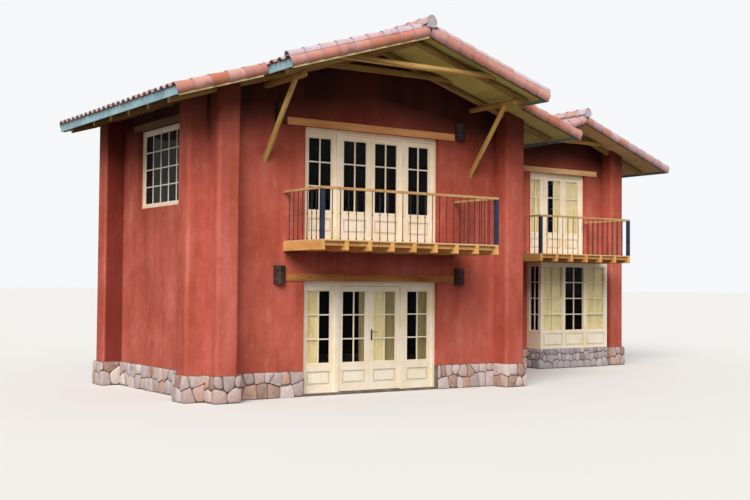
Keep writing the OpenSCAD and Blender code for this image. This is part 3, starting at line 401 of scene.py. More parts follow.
def room_finish():
    """Painted shade: near-black inner faces of the rooms, seen through the panes."""
    f = Finish("room_shade_plaster", 0.95, 0.05)
    return f.done(f.ramp(f.noise(1.5, 4, 0.6), (0.35, (0.018, 0.012, 0.01)), (0.65, (0.045, 0.03, 0.026))))


# Timber colours: light, middle, dark
HONEY = ((0.62, 0.29, 0.09), (0.42, 0.15, 0.035), (0.2, 0.055, 0.012))
WARM = ((0.86, 0.46, 0.19), (0.72, 0.32, 0.12), (0.48, 0.17, 0.05))
GOLD = ((0.82, 0.5, 0.19), (0.7, 0.36, 0.11), (0.44, 0.19, 0.05))
RAIL = ((0.66, 0.42, 0.2), (0.5, 0.28, 0.11), (0.3, 0.14, 0.05))
PALE = ((0.82, 0.55, 0.31), (0.7, 0.41, 0.2), (0.46, 0.24, 0.1))
OLIVE = ((0.42, 0.35, 0.16), (0.3, 0.23, 0.09), (0.16, 0.11, 0.045))
DARK_BROWN = ((0.26, 0.17, 0.09), (0.16, 0.095, 0.045), (0.07, 0.04, 0.02))
# Painted shade: darker wood for the verge battens off the main roof's left slope
BATTEN_SHADE_TONES = ((0.12, 0.07, 0.04), (0.07, 0.04, 0.025), (0.03, 0.018, 0.012))
STRAW = ((0.8, 0.66, 0.36), (0.62, 0.48, 0.22), (0.36, 0.25, 0.09))
BUTTER = ((0.95, 0.84, 0.5), (0.9, 0.75, 0.38), (0.72, 0.54, 0.24))

adobe = adobe_finish()
mortar = mortar_finish()
rubble = rubble_finish(
    "rubble_stone",
    (0.0, (0.3, 0.19, 0.16)), (0.14, (0.56, 0.33, 0.25)), (0.28, (0.58, 0.41, 0.37)),
    (0.42, (0.4, 0.31, 0.31)), (0.56, (0.66, 0.5, 0.46)), (0.7, (0.46, 0.37, 0.38)),
    (0.85, (0.6, 0.47, 0.45)), (1.0, (0.68, 0.58, 0.54)))
bay_rubble = rubble_finish(
    "bay_stone", (0.0, (0.26, 0.21, 0.22)), (0.25, (0.38, 0.32, 0.34)), (0.5, (0.48, 0.41, 0.43)),
    (0.75, (0.4, 0.35, 0.38)), (1.0, (0.58, 0.52, 0.52)))
lavender_mortar = rubble_finish("ridge_plug_mortar", (0.0, (0.38, 0.33, 0.39)), (1.0, (0.52, 0.46, 0.52)))
verge_clay = clay_finish("verge_clay", (
    (0.0, (0.46, 0.15, 0.075)), (0.25, (0.56, 0.2, 0.125)), (0.5, (0.61, 0.26, 0.19)),
    (0.75, (0.48, 0.19, 0.145)), (1.0, (0.6, 0.31, 0.26))), (0.6, 0.42, 0.4), 0.28)
wing_verge_clay = clay_finish("wing_verge_clay", (
    (0.0, (0.5, 0.2, 0.15)), (0.25, (0.56, 0.27, 0.23)), (0.5, (0.54, 0.33, 0.32)),
    (0.75, (0.42, 0.27, 0.32)), (1.0, (0.58, 0.41, 0.42))), (0.56, 0.42, 0.44), 0.5)
upper_clay = clay_finish("upper_row_clay", (
    (0.0, (0.54, 0.31, 0.31)), (0.3, (0.56, 0.4, 0.43)), (0.6, (0.5, 0.41, 0.48)), (1.0, (0.6, 0.5, 0.55))))
field_clay = clay_finish("field_clay", (
    (0.0, (0.38, 0.13, 0.085)), (0.25, (0.52, 0.23, 0.17)), (0.5, (0.56, 0.32, 0.27)),
    (0.75, (0.55, 0.39, 0.38)), (1.0, (0.6, 0.48, 0.5))))
soffit = soffit_finish("soffit", (0.47, 0.42, 0.13), (0.6, 0.55, 0.19), (0.68, 0.63, 0.26))
wing_soffit = soffit_finish("wing_soffit", (0.54, 0.4, 0.2), (0.66, 0.5, 0.27), (0.74, 0.58, 0.36))
fascia_blue = fascia_finish()
peeled_log = log_finish()
cut_log_end = cut_end_finish()
room_shade_plaster = room_finish()
black_iron = iron_finish("black_iron", (0.012, 0.012, 0.016))
blue_iron = iron_finish("blue_iron", (0.012, 0.024, 0.055), 0.1)
lamp_iron = iron_finish("lamp_iron", (0.03, 0.016, 0.012), 0.6, 0.6)
bronze = iron_finish("handle_bronze", (0.03, 0.022, 0.015), 0.2, 0.35)
glazing = glass_finish()
shaded_room_glazing = dim_glass_finish()
lintel_wood = wood_finish("lintel_wood", ALONG_X, HONEY, knots=0.6)
# Painted shade on the side lintels and painted light on the upper front lintel: darker and lighter copies of
# the lintel wood
shaded_side_lintel_wood = wood_finish("shaded_side_lintel_wood", ALONG_Y, DARK_BROWN, knots=0.6)
wing_lintel_wood = wood_finish("wing_lintel_wood", ALONG_X, PALE, knots=0.6)
lit_upper_lintel_wood = wood_finish("lit_upper_lintel_wood", ALONG_X, WARM, knots=0.6)
joist_wood = wood_finish("joist_wood", ALONG_Y, GOLD, knots=0.5)
deck_wood = wood_finish("deck_wood", ALONG_X, PALE, knots=0.4)
rail_wood = wood_finish("rail_wood", ALONG_RAIL, RAIL, rough=0.65)
floor_wood = wood_finish("floor_wood", ALONG_X, OLIVE)
olive_shutter = wood_finish("olive_shutter", ALONG_Z, OLIVE)
limed_shutter = wood_finish("limed_shutter", ALONG_Z, BUTTER)
shaded_batten_wood = wood_finish("shaded_batten_wood", ALONG_BATTEN, BATTEN_SHADE_TONES)
trim_wood = wood_finish("trim_wood", ALONG_BATTEN, STRAW)
limed = limed_finish("limed_joinery")
limed_groove_shade = limed_finish("limed_groove_shade", 0.74)

# The finish of each node that isn't adobe
NODE_FINISHES = (
    (mortar, ("main_plinth", "wing_plinth", "bay_base", "ground_floor")),
    (floor_wood, ("upper_floor",)),
    (lintel_wood, ("lintels",)),
    (limed, ("door_frame", "door_leaf_left", "door_leaf_right", "upper_door_frames", "fixed_leaves",
             "window_frames", "bay_window")),
    (bronze, ("door_hinges", "door_handles")),
    (glazing, ("glass", "door_glass_left", "door_glass_right")),
    (limed_shutter, ("shutters", "door_shutters_right")),
    (olive_shutter, ("door_shutter_left",)),
    (joist_wood, ("balcony_joists",)),
    (deck_wood, ("balcony_decks",)),
    (black_iron, ("balcony_railings",)),
    (rail_wood, ("balcony_handrails",)),
    (peeled_log, ("main_rafters", "wing_rafters", "collar_logs", "porch_purlins", "knee_braces")),
    (soffit, ("main_boards",)),
    (wing_soffit, ("wing_boards",)),
    (fascia_blue, ("fascias",)),
    (lamp_iron, ("wall_lamps",)),
)


def repaint(name, finish, test=None):
    """Gives a node a finish, or only those of its faces whose middle passes the test."""
    mesh = node[name].data
    if test is None:
        mesh.materials.clear()
    mesh.materials.append(finish)
    if test:
        for face in mesh.polygons:
            if test(face.center):
                face.material_index = len(mesh.materials) - 1


for name in node:
    repaint(name, adobe)
for finish, names in NODE_FINISHES:
    for name in names:
        repaint(name, finish)


def in_side_wall(p):
    """Whether a lintel's face is in a side wall of either block."""
    at_side = MAIN_X - 0.5 < abs(p.x) and (p.x < MAIN_X + 0.3 or p.x > WING_X1 - 0.5)
    at_wing_front = p.x > WING_RIDGE_X - 2.6 and p.y < WING_Y0 + 0.5
    return at_side and abs(p.y) < WING_Y1 - 0.5 and not at_wing_front


def in_rooms(p):
    """Whether a face lies on the inner side of a room's walls."""
    inset = WALL - 0.012
    return any(x0 + inset < p.x < x1 - inset and y0 + inset < p.y < y1 - inset for x0, y0, x1, y1 in BLOCKS)


# Painted shade on the side lintels, painted light on the upper front lintel
repaint("lintels", shaded_side_lintel_wood, in_side_wall)
repaint("lintels", lit_upper_lintel_wood, lambda p: p.y < 0.5 - MAIN_Y and p.z > FLOOR)
repaint("lintels", wing_lintel_wood,
        lambda p: WING_RIDGE_X - 1.6 < p.x < WING_X1 - 0.5 and p.y < WING_Y0 + 0.5)
# Painted shade on the floors inside the rooms
repaint("ground_floor", room_shade_plaster, in_rooms)
repaint("upper_floor", room_shade_plaster, in_rooms)
# Painted shade on the side and back panes
repaint("glass", shaded_room_glazing, lambda p: p.y > MAIN_Y - 0.3 or MAIN_X - 0.3 < abs(p.x) < MAIN_X + 0.1)
repaint("shutters", olive_shutter, lambda p: p.y < 0 < p.x)
repaint("door_shutters_right", olive_shutter, lambda p: p.x > 0.37)

# Painted shade in the grooves round the fielded panels: a darker copy of the lime wash
GROOVE = 0.011
GROOVE_YS = [wall_y + REVEAL + FRAME_D - LEAF_T + GROOVE for wall_y in (-MAIN_Y, WING_Y0)]
BAY_GROOVE_Y = WING_Y0 - BAY_OUT + GROOVE
for name in ("fixed_leaves", "door_leaf_left", "door_leaf_right"):
    repaint(name, limed_groove_shade, lambda p: min(abs(p.y - y) for y in GROOVE_YS) < 0.004)
repaint("bay_window", limed_groove_shade, lambda p: p.z < BAY_SILL - 0.1 and abs(p.y - BAY_GROOVE_Y) < 0.004)

# The corner posts of the railings are dark blue
CORNER = 0.08
for x0, x1, wall_y, depth in DECKS:
    repaint("balcony_railings", blue_iron, lambda p: -0.01 < p.y - wall_y + depth < CORNER
            and min(abs(p.x - x0), abs(p.x - x1)) < CORNER)


# mesh helpers
def soften(bm, sharp=35):
    """Smooth shading, broken at edges sharper than the angle."""
    for face in bm.faces:
        face.smooth = True
    for edge in bm.edges:
        edge.smooth = edge.calc_face_angle(0.0) < math.radians(sharp)


def to_mesh(name, bm):
    mesh = bpy.data.meshes.new(name)
    bm.to_mesh(mesh)
    bm.free()
    return mesh


def pour(form, bm):
    """Moves one bmesh's shape into another."""
    mesh = to_mesh("form", form)
    bm.from_mesh(mesh)
    bpy.data.meshes.remove(mesh)


def show(name, data):
    """Puts a mesh, light or camera into the scene."""
    made = bpy.data.objects.new(name, data)
    bpy.context.scene.collection.objects.link(made)
    return made


def piece(name, bm, finish, stands_for=None, body="house", sharp=35):
    """Makes the finished piece from its bmesh, lets it ride on its body and stand for its node."""
    soften(bm, sharp)
    made = show(name, to_mesh(name, bm))
    for used in finish if isinstance(finish, tuple) else (finish,):
        made.data.materials.append(used)
    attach(made, body)
    if stands_for:
        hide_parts(stands_for)


def toned():
    """A new bmesh whose points carry a tone and a place along their piece."""
    bm = bmesh.new()
    bm.verts.layers.float.new("tone")
    bm.verts.layers.float.new("along")
    return bm


def only(kind, geom):
    return [g for g in geom if isinstance(g, kind)]


def face_out(bm):
    bmesh.ops.recalc_face_normals(bm, faces=bm.faces[:])


def round_off(bm, geom, offset, segments=3, affect="EDGES"):
    return bmesh.ops.bevel(bm, geom=geom, offset=offset, segments=segments, profile=0.5, affect=affect,
                           material=-1, clamp_overlap=True)["faces"]


def slice_at(bm, point, normal, clear=True):
    """Cuts along a plane, clears what lies beyond it if asked to, and gives the cut's edges."""
    cut = bmesh.ops.bisect_plane(bm, geom=bm.verts[:] + bm.edges[:] + bm.faces[:], dist=1e-5,
                                 plane_co=Vector(point), plane_no=Vector(normal), clear_outer=clear)
    return only(BMEdge, cut["geom_cut"])


def drum(bm, segments, radius, high):
    """An upright closed drum that stands on the origin."""
    ring = bmesh.ops.create_circle(bm, cap_ends=True, segments=segments, radius=radius)["verts"]
    lid = list({f for v in ring for f in v.link_faces})
    raised = only(BMVert, bmesh.ops.extrude_face_region(bm, geom=lid, use_keep_orig=True)["geom"])
    bmesh.ops.translate(bm, vec=(0, 0, high), verts=raised)
    return ring + raised


def beam(bm, low, high, bevel, tone=None, place=None):
    """A box from its lowest to its highest corner, with its edges taken off."""
    low, high = Vector(low), Vector(high)
    verts = bmesh.ops.create_cube(bm, size=1.0)["verts"]
    bmesh.ops.scale(bm, vec=high - low, verts=verts)
    made = round_off(bm, list({e for v in verts for e in v.link_edges}), bevel, 1)
    verts = list({v for f in made for v in f.verts} | {v for v in verts if v.is_valid})
    bmesh.ops.translate(bm, vec=(low + high) / 2, verts=verts)
    if place is not None:
        bmesh.ops.transform(bm, matrix=place, verts=verts)
    if tone is not None:
        layer = bm.verts.layers.float["tone"]
        for vert in verts:
            vert[layer] = tone
    return verts


def strew(bm, mesh, matrix, tone):
    """Adds a copy of a small mesh at a place, with its own tone."""
    mesh.attributes["tone"].data.foreach_set("value", [tone] * len(mesh.vertices))
    mesh.transform(matrix)
    bm.from_mesh(mesh)
    mesh.transform(matrix.inverted())


def slope_matrix(roof, side):
    """Turns (along the slope, across it, off the boards' underside) into the frame."""
    mid, ridge_z, pitch = roof
    down = Vector((side * math.cos(pitch), 0, -math.sin(pitch)))
    across = Vector((0, side, 0))
    off = Vector((side * math.sin(pitch), 0, math.cos(pitch)))
    turn = Matrix((down, across, off)).transposed().to_4x4()
    return Matrix.Translation((mid, 0, ridge_z)) @ turn


# logs
LOG_D, COLLAR_D, BRACE_D, PURLIN_D = 0.132, 0.125, 0.11, 0.125
LOG_RING, LOG_SWELL, LOG_KNOB = 0.22, 0.035, 0.018
LOG_CLEAR, LOG_SPARE, HAIR = 0.004, 0.2, 0.0003
COLLAR_TILT, COLLAR_SUNK = 0.012, 0.012
PORCH_RAFTER_Y = -MAIN_Y - PORCH_DEPTH


def rafter_ys(y0, y1):
    """Even steps from ahead of a block's front wall, and a last rafter behind its back wall."""
    return [y0 - RAFTER_LEAD + k * RAFTER_STEP for k in range(RAFTER_SPANS)] + [y1 + RAFTER_LEAD]


def logs():
    """A new bmesh whose points carry their log's own grain space and tone."""
    bm = bmesh.new()
    bm.verts.layers.float_vector.new("grain")
    bm.verts.layers.float.new("tone")
    return bm


def peeled(bm, a, b, thick, rng, tone, cuts=(), bend=0.008, sides=16):
    """One peeled log from a to b, a little crooked and knobbly, with its thickness at each end.
    Each cut is (point, direction to clear), and its fresh face is a sawn end."""
    a, b = Vector(a), Vector(b)
    length = (b - a).length
    rings = max(4, round(length / LOG_RING))
    log = logs()
    grain, shade = log.verts.layers.float_vector["grain"], log.verts.layers.float["tone"]
    bmesh.ops.create_circle(log, cap_ends=True, segments=sides, radius=1)
    tip = log.faces[:]
    loops = [log.verts[:]]
    for i in range(rings):
        made = bmesh.ops.extrude_face_region(log, geom=tip, use_keep_orig=(i == 0))["geom"]
        tip = only(BMFace, made)
        loops.append(only(BMVert, made))
    slide = rng.uniform(0, 9)
    rng.random()  # one draw more, so that each log keeps its shape
    phase, sway = rng.uniform(0, 6.28), rng.uniform(0.5, 1.0) * bend
    turn = (b - a).normalized().to_track_quat("Z", "Y").to_matrix()
    for i, loop in enumerate(loops):
        t = i / rings
        radius = (thick[0] + (thick[1] - thick[0]) * t) / 2
        wave = sway * math.sin(math.pi * t)
        middle = Vector((wave * math.cos(phase), wave * math.sin(phase), t * length))
        for vert in loop:
            round_at = math.atan2(vert.co.y, vert.co.x)
            swell = 1 + LOG_SWELL * math.sin(2 * round_at + phase + 5 * t) + rng.uniform(-LOG_KNOB, LOG_KNOB)
            spoke = Vector((math.cos(round_at), math.sin(round_at), 0)) * radius * swell
            vert[grain] = Vector((t * length + slide, spoke.x, spoke.y))
            vert[shade] = tone
            vert.co = a + turn @ (middle + spoke)
    for face in log.faces:
        face.material_index = 1 if len(face.verts) > 4 else 0
    for point, clear in cuts:
        for face in bmesh.ops.holes_fill(log, edges=slice_at(log, point, clear), sides=0)["faces"]:
            face.material_index = 1
    face_out(log)
    pour(log, bm)


def rafter(bm, roof, side, y, reach, rng, tone):
    """A log under one slope, mitred at the ridge and cut upright at its tail."""
    slope = slope_matrix(roof, side)
    off, run = -LOG_D / 2 - LOG_CLEAR, reach / math.cos(roof[2])
    ridge_end, tail = roof[0] + side * HAIR, roof[0] + side * reach
    peeled(bm, slope @ Vector((-LOG_SPARE, side * y, off)), slope @ Vector((run + LOG_SPARE, side * y, off)),
           (LOG_D, LOG_D * 0.93), rng, tone,
           [((ridge_end, 0, 0), (-side, 0, 0)), ((tail, 0, 0), (side, 0, 0))], 0.004, 14)


rng = random.Random(5)
main_logs, wing_logs = logs(), logs()
for side in (-1, 1):
    rafter(main_logs, MAIN_ROOF, side, PORCH_RAFTER_Y, PORCH_EAVE - TAIL_BACK, rng, 0.42)
    # Rafters behind the front wall get a low tone: painted shade under the eaves
    for y in rafter_ys(-MAIN_Y, MAIN_Y):
        rafter(main_logs, MAIN_ROOF, side, y, MAIN_EAVE - TAIL_BACK, rng, 0.34 if y < -MAIN_Y else 0.1)
for y in rafter_ys(WING_Y0, WING_Y1):
    rafter(wing_logs, WING_ROOF, 1, y, WING_EAVE - TAIL_BACK, rng, 0.4)
    left_reach = CATSLIDE_REACH - TAIL_BACK if y > MAIN_Y + 0.1 else VALLEY_REACH - HAIR
    rafter(wing_logs, WING_ROOF, -1, y, left_reach, rng, 0.4)
sawn_logs = (peeled_log, cut_log_end)
piece("main_rafter_logs", main_logs, sawn_logs, "main_rafters")
piece("wing_rafter_logs", wing_logs, sawn_logs, "wing_rafters")

# Collar logs cross in front of their rafters, their ends cut to the slope
collars = logs()
for (mid, ridge_z, pitch), y, drop, tone in ((MAIN_ROOF, PORCH_RAFTER_Y, 0.56, 0.92),
                                             (MAIN_ROOF, -MAIN_Y - RAFTER_LEAD, 0.5, 0.3),
                                             (WING_ROOF, WING_Y0 - RAFTER_LEAD, 0.45, 0.75)):
    reach = drop / math.tan(pitch) + 0.1
    z = ridge_z - drop
    at = y - (LOG_D + COLLAR_D) / 2 + COLLAR_SUNK
    cuts = [((mid, 0, ridge_z - 0.008), (side * math.sin(pitch), 0, math.cos(pitch))) for side in (-1, 1)]
    peeled(collars, (mid - reach, at, z - COLLAR_TILT), (mid + reach, at, z + COLLAR_TILT),
           (COLLAR_D * 1.05, COLLAR_D * 0.92), rng, tone, cuts, 0.02)
piece("collar_peeled_logs", collars, sawn_logs, "collar_logs")

# Porch purlins rest on their braces, which spring from the front wall
porch_logs, brace_logs = logs(), logs()
_, ridge_z, pitch = MAIN_ROOF
purlin_z = ridge_z - math.tan(pitch) * PURLIN_X - (LOG_D + PURLIN_D / 2 + 0.006) / math.cos(pitch)
for side in (-1, 1):
    x = side * PURLIN_X
    peeled(porch_logs, (x, -MAIN_Y + 0.001, purlin_z), (x, -MAIN_Y - PURLIN_OUT, purlin_z),
           (PURLIN_D, PURLIN_D * 0.95), rng, 0.7 if side > 0 else 0.6, (), 0.006)
    foot = Vector((x, -MAIN_Y, BRACE_FOOT))
    head = Vector((x, -MAIN_Y - BRACE_OUT, purlin_z - 0.035))
    lean = (head - foot).normalized()
    peeled(brace_logs, foot - lean * 0.25, head + lean * 0.03, (BRACE_D, BRACE_D * 0.9), rng, 0.95,
           [((0, -MAIN_Y + 0.0005, 0), (0, 1, 0))], 0.007)
piece("porch_purlin_logs", porch_logs, peeled_log, "porch_purlins")
piece("knee_brace_logs", brace_logs, sawn_logs, "knee_braces")

# roof boards, fascias and battens
BOARD_W = 0.2
SEAM = 0.001
PORCH_IN, MAIN_IN, WING_IN, CATSLIDE_IN = [reach - (TILE_OVER + FASCIA_T + 0.0004) for reach in (
    PORCH_EAVE, MAIN_EAVE, WING_EAVE, CATSLIDE_REACH)]
PORCH_START, MAIN_START, WING_START = [y + EDGE_IN for y in (PORCH_Y, VERGE_Y, WING_FRONT_Y)]
MAIN_END, WING_END = BACK_Y - EDGE_IN, WING_BACK_Y - EDGE_IN
BEHIND_MAIN = MAIN_Y + SEAM


def lay_boards(bm, roof, side, out, y0, y1, rng):
    """Boards over one zone of a slope, from one distance off the ridge to another."""
    slope, pitch = slope_matrix(roof, side), roof[2]
    s0, s1 = out[0] / math.cos(pitch), out[1] / math.cos(pitch) - BOARD * math.tan(pitch)
    count = max(1, round((s1 - s0) / BOARD_W))
    width = (s1 - s0) / count
    ya, yb = sorted((side * y0, side * y1))
    for i in range(count):
        beam(bm, (s0 + i * width + SEAM, ya, rng.uniform(0.0002, 0.0025)),
             (s0 + (i + 1) * width - SEAM, yb, BOARD), 0.002, rng.random(), slope)


rng = random.Random(7)
main_boards, wing_boards = toned(), toned()
for side in (-1, 1):
    lay_boards(main_boards, MAIN_ROOF, side, (SEAM, PORCH_IN), PORCH_START, MAIN_END, rng)
    lay_boards(main_boards, MAIN_ROOF, side, (PORCH_IN, MAIN_IN), MAIN_START, MAIN_END, rng)
lay_boards(wing_boards, WING_ROOF, 1, (SEAM, WING_IN), WING_START, WING_END, rng)
lay_boards(wing_boards, WING_ROOF, -1, (SEAM, VALLEY_REACH - SEAM), WING_START, WING_END, rng)
lay_boards(wing_boards, WING_ROOF, -1, (VALLEY_REACH, CATSLIDE_IN), BEHIND_MAIN, WING_END, rng)
piece("main_roof_boards", main_boards, soffit, "main_boards")
piece("wing_roof_boards", wing_boards, wing_soffit, "wing_boards")

FASCIA_DROP, FASCIA_RISE, FASCIA_LONG = 0.055, 0.083, 3.1
eave_runs = [(WING_ROOF, 1, WING_EAVE, WING_START, WING_END),
             (WING_ROOF, -1, CATSLIDE_REACH, BEHIND_MAIN, WING_END)]
for side in (-1, 1):
    eave_runs += [(MAIN_ROOF, side, MAIN_EAVE, MAIN_START, MAIN_END),
                  (MAIN_ROOF, side, PORCH_EAVE, PORCH_START, VERGE_Y - SEAM)]
fascias = toned()
rise_layer = fascias.verts.layers.float["along"]
for (mid, ridge_z, pitch), side, reach, y0, y1 in eave_runs:
    outer, inner = reach - TILE_OVER, reach - TILE_OVER - FASCIA_T
    xa, xb = sorted((mid + side * inner, mid + side * outer))
    low_z = ridge_z - math.tan(pitch) * inner - FASCIA_DROP
    high_z = ridge_z - math.tan(pitch) * outer + BOARD / math.cos(pitch) + FASCIA_RISE
    count = max(1, round((y1 - y0) / FASCIA_LONG))
    for i in range(count):
        ya = y0 + i * (y1 - y0) / count + (0.0015 if i else 0)
        yb = y0 + (i + 1) * (y1 - y0) / count
        for vert in beam(fascias, (xa, ya, low_z), (xb, yb, high_z), 0.003, 0.5):
            vert[rise_layer] = (vert.co.z - low_z) / (high_z - low_z)
piece("eave_fascias", fascias, fascia_blue, "fascias")

# Battens under the verges, just inside the tiles' lower edge; all but those on the main roof's left slope
# take a darker wood, which is painted shade
BATTEN_IN, BATTEN_W, BATTEN_H = 0.068, 0.026, 0.072
verge_runs = [(WING_ROOF, 1, 0.0, WING_IN, WING_FRONT_Y, 1), (WING_ROOF, 1, 0.0, WING_IN, WING_BACK_Y, -1),
              (WING_ROOF, -1, 0.0, VALLEY_REACH, WING_FRONT_Y, 1),
              (WING_ROOF, -1, 0.0, CATSLIDE_IN, WING_BACK_Y, -1)]
for side in (-1, 1):
    verge_runs += [(MAIN_ROOF, side, 0.0, PORCH_IN, PORCH_Y, 1), (MAIN_ROOF, side, 0.0, MAIN_IN, BACK_Y, -1),
                   (MAIN_ROOF, side, PORCH_EAVE, MAIN_IN, VERGE_Y, 1)]
light_battens, shaded_battens = toned(), toned()
for roof, side, s0, s1, edge_y, into in verge_runs:
    pitch = roof[2]
    ya, yb = sorted(side * (edge_y + into * inset) for inset in (BATTEN_IN, BATTEN_IN + BATTEN_W))
    beam(light_battens if side < 0 and roof is MAIN_ROOF else shaded_battens,
         (s0 / math.cos(pitch) + BATTEN_H * math.tan(pitch), ya, -BATTEN_H),
         (s1 / math.cos(pitch) - 0.01, yb, -HAIR), 0.004, place=slope_matrix(roof, side))
piece("left_verge_battens", light_battens, trim_wood)
piece("verge_battens", shaded_battens, shaded_batten_wood)

# roof tiles
TILE_LONG, VERGE_LONG, LAP = 0.43, 0.41, 0.06
TILE_PITCH, VERGE_IN = 0.25, 0.133
LEAN, VERGE_LEAN, VERGE_ROLL = 0.03, 0.012, math.radians(60)
COVER_HALF, PAN_HALF = 0.09, 0.1
BED_IN, BED_SHORT, BED_TOP = 0.1, 0.12, 0.06
COVER_OFF, PAN_OFF, VERGE_OFF, SECOND_OFF = 0.104, 0.151, 0.052, 0.148
RIDGE_RISE, RIDGE_T, RIDGE_HALF, RIDGE_SUNK = 0.172, 0.016, 0.13, 0.06


def barrel(upper, lower, rise, length=TILE_LONG, thick=0.013, steps=6):
    """A barrel tile that runs along +X from its upper to its lower end, crown up."""
    bm = bmesh.new()
    arc = bmesh.ops.create_circle(bm, segments=2 * steps, radius=1)["verts"]
    bmesh.ops.rotate(bm, verts=arc, matrix=Matrix.Rotation(math.pi / 2, 3, "Y"))
    bmesh.ops.delete(bm, geom=[v for v in bm.verts if v.co.z < -0.01], context="VERTS")
    top_end = bm.verts[:]
    low_end = only(BMVert, bmesh.ops.extrude_edge_only(bm, edges=bm.edges[:])["geom"])
    bmesh.ops.scale(bm, vec=(1, upper, rise * upper / lower), verts=top_end)
    bmesh.ops.scale(bm, vec=(1, lower, rise), verts=low_end)
    bmesh.ops.translate(bm, vec=(length, 0, 0), verts=low_end)
    face_out(bm)
    if sum(f.normal.z for f in bm.faces) < 0:
        bmesh.ops.reverse_faces(bm, faces=bm.faces[:])
    bmesh.ops.solidify(bm, geom=bm.faces[:], thickness=thick)
    face_out(bm)
    bm.verts.layers.float.new("tone")
    along = bm.verts.layers.float.new("along")
    for vert in bm.verts:
        vert[along] = vert.co.x / length
    soften(bm)
    return to_mesh("barrel_form", bm)


COVER = barrel(0.072, 0.0875, 0.066)
PAN = barrel(0.106, 0.094, 0.05)
VERGE = barrel(0.109, 0.125, 0.125, VERGE_LONG, 0.016, 8)
SECOND = barrel(0.076, 0.09, 0.1, VERGE_LONG, 0.014, 7)
RIDGE = barrel(0.104, 0.118, RIDGE_RISE, TILE_LONG, RIDGE_T, 8)


def lay_row(bm, tile, slope, side, y, off, reach, rng, start=0.0, tilt=LEAN, turn=0.0, long=TILE_LONG,
            loose=0.012):
    """Lays one row of tiles down a slope, from the eave up to the ridge."""
    s = reach
    while s > start + 0.04:
        length = min(long, s - start)
        squeeze = Matrix.Diagonal((length / long, 1, 1, 1))
        nudge = Matrix.Rotation(rng.uniform(-loose, loose), 4, "Z") @ Matrix.Rotation(-tilt, 4, "Y")
        place = Matrix.Translation((s - length, side * y + rng.uniform(-1, 1) * loose / 4,
                                    off + rng.uniform(-1, 1) * loose / 6))
        strew(bm, tile, slope @ place @ nudge @ Matrix.Rotation(turn, 4, "X") @ squeeze, rng.random())
        s -= (long - LAP) * (1 + rng.uniform(-0.016, 0.016))


def lay_verge(bm, slope, side, y, outward, run, rng, start=0.0):
    """A verge row: barrels rolled outward, so that they hang over the edge of the boards."""
    lay_row(bm, VERGE, slope, side, y, VERGE_OFF, run, rng, start, VERGE_LEAN, -VERGE_ROLL * outward * side,
            VERGE_LONG, 0.003)


def slope_run(reach, pitch):
    """Length down a slope at which a tile's top ends over the reach."""
    return (reach - TILE_TOP * math.sin(pitch)) / math.cos(pitch) - 0.006


class TileRows:
    """The cover, pan and verge tiles of one roof, and the clay bed under them."""

    def __init__(self, roof):
        self.roof = roof
        self.covers, self.pans, self.verges, self.bed = toned(), toned(), toned(), toned()

    def zone(self, side, reach_at, y0, y1, verge0, verge1, seed):
        """Tiles over one zone of a slope. A verge row closes each side that is a verge."""
        rng = random.Random(seed)
        slope, pitch = slope_matrix(self.roof, side), self.roof[2]
        first = y0 + (VERGE_IN if verge0 else 0.0)
        last = y1 - (VERGE_IN if verge1 else 0.0)
        count = max(1, round((last - first) / TILE_PITCH))
        lines = [first + i * (last - first) / count for i in range(count + 1)]
        for i, y in enumerate(lines):
            run = slope_run(reach_at(y - COVER_HALF), pitch)
            if (i == 0 and verge0) or (i == count and verge1):
                lay_verge(self.verges, slope, side, y, -1 if i == 0 else 1, run, rng)
            elif 0 < i < count:
                lay_row(self.covers, COVER, slope, side, y, COVER_OFF, run, rng)
        for a, b in zip(lines, lines[1:]):
            run = slope_run(reach_at((a + b) / 2 - PAN_HALF), pitch) - 0.004
            lay_row(self.pans, PAN, slope, side, (a + b) / 2, PAN_OFF, run, rng, turn=math.pi)

    def slab(self, side, reach, y0, y1):
        """The bed, held back from the eave and the verges."""
        ya, yb = sorted((side * y0, side * y1))
        low_end = reach / math.cos(self.roof[2]) - BED_SHORT
        beam(self.bed, (0.02, ya, BOARD + SEAM), (low_end, yb, BOARD + BED_TOP), 0.006, 0.2,
             slope_matrix(self.roof, side))

    def finish(self, block, clay, *more):
        """Makes the pieces, with any more rows that the roof has: (name, bmesh, finish)."""
        for name, bm, finish in ((block + "_cover_tiles", self.covers, field_clay),
                                 (block + "_pan_tiles", self.pans, field_clay),
                                 (block + "_verge_tiles", self.verges, clay), *more,
                                 (block + "_tile_bed", self.bed, mortar)):
            piece(name, bm, finish, block + "_tiles")


main_tiles, uppers = TileRows(MAIN_ROOF), toned()
STEP_Y = VERGE_Y + VERGE_IN
PORCH_RUN, MAIN_RUN = [slope_run(reach, MAIN_ROOF[2]) for reach in (PORCH_EAVE, MAIN_EAVE)]
for side in (-1, 1):
    main_tiles.zone(side, lambda y: MAIN_EAVE, STEP_Y, BACK_Y, False, True, 11 + side)
    main_tiles.zone(side, lambda y: PORCH_EAVE, PORCH_Y, STEP_Y, True, False, 21 + side)
    # The row over the step: a verge beyond the porch gable, a plain cover within it
    rng = random.Random(31 + side)
    slope = slope_matrix(MAIN_ROOF, side)
    lay_verge(main_tiles.verges, slope, side, STEP_Y, -1, MAIN_RUN, rng, PORCH_RUN - 0.02)
    lay_row(main_tiles.covers, COVER, slope, side, STEP_Y, COVER_OFF, PORCH_RUN, rng)
    # A second row of barrels on the porch's verge
    lay_row(uppers, SECOND, slope, side, PORCH_Y + VERGE_IN + 0.004, SECOND_OFF, PORCH_RUN, rng, 0.13, 0.014,
            long=VERGE_LONG, loose=0.006)
    main_tiles.slab(side, MAIN_EAVE, VERGE_Y + BED_IN, BACK_Y - BED_IN)
    main_tiles.slab(side, PORCH_EAVE, PORCH_Y + BED_IN, VERGE_Y + BED_IN - SEAM)
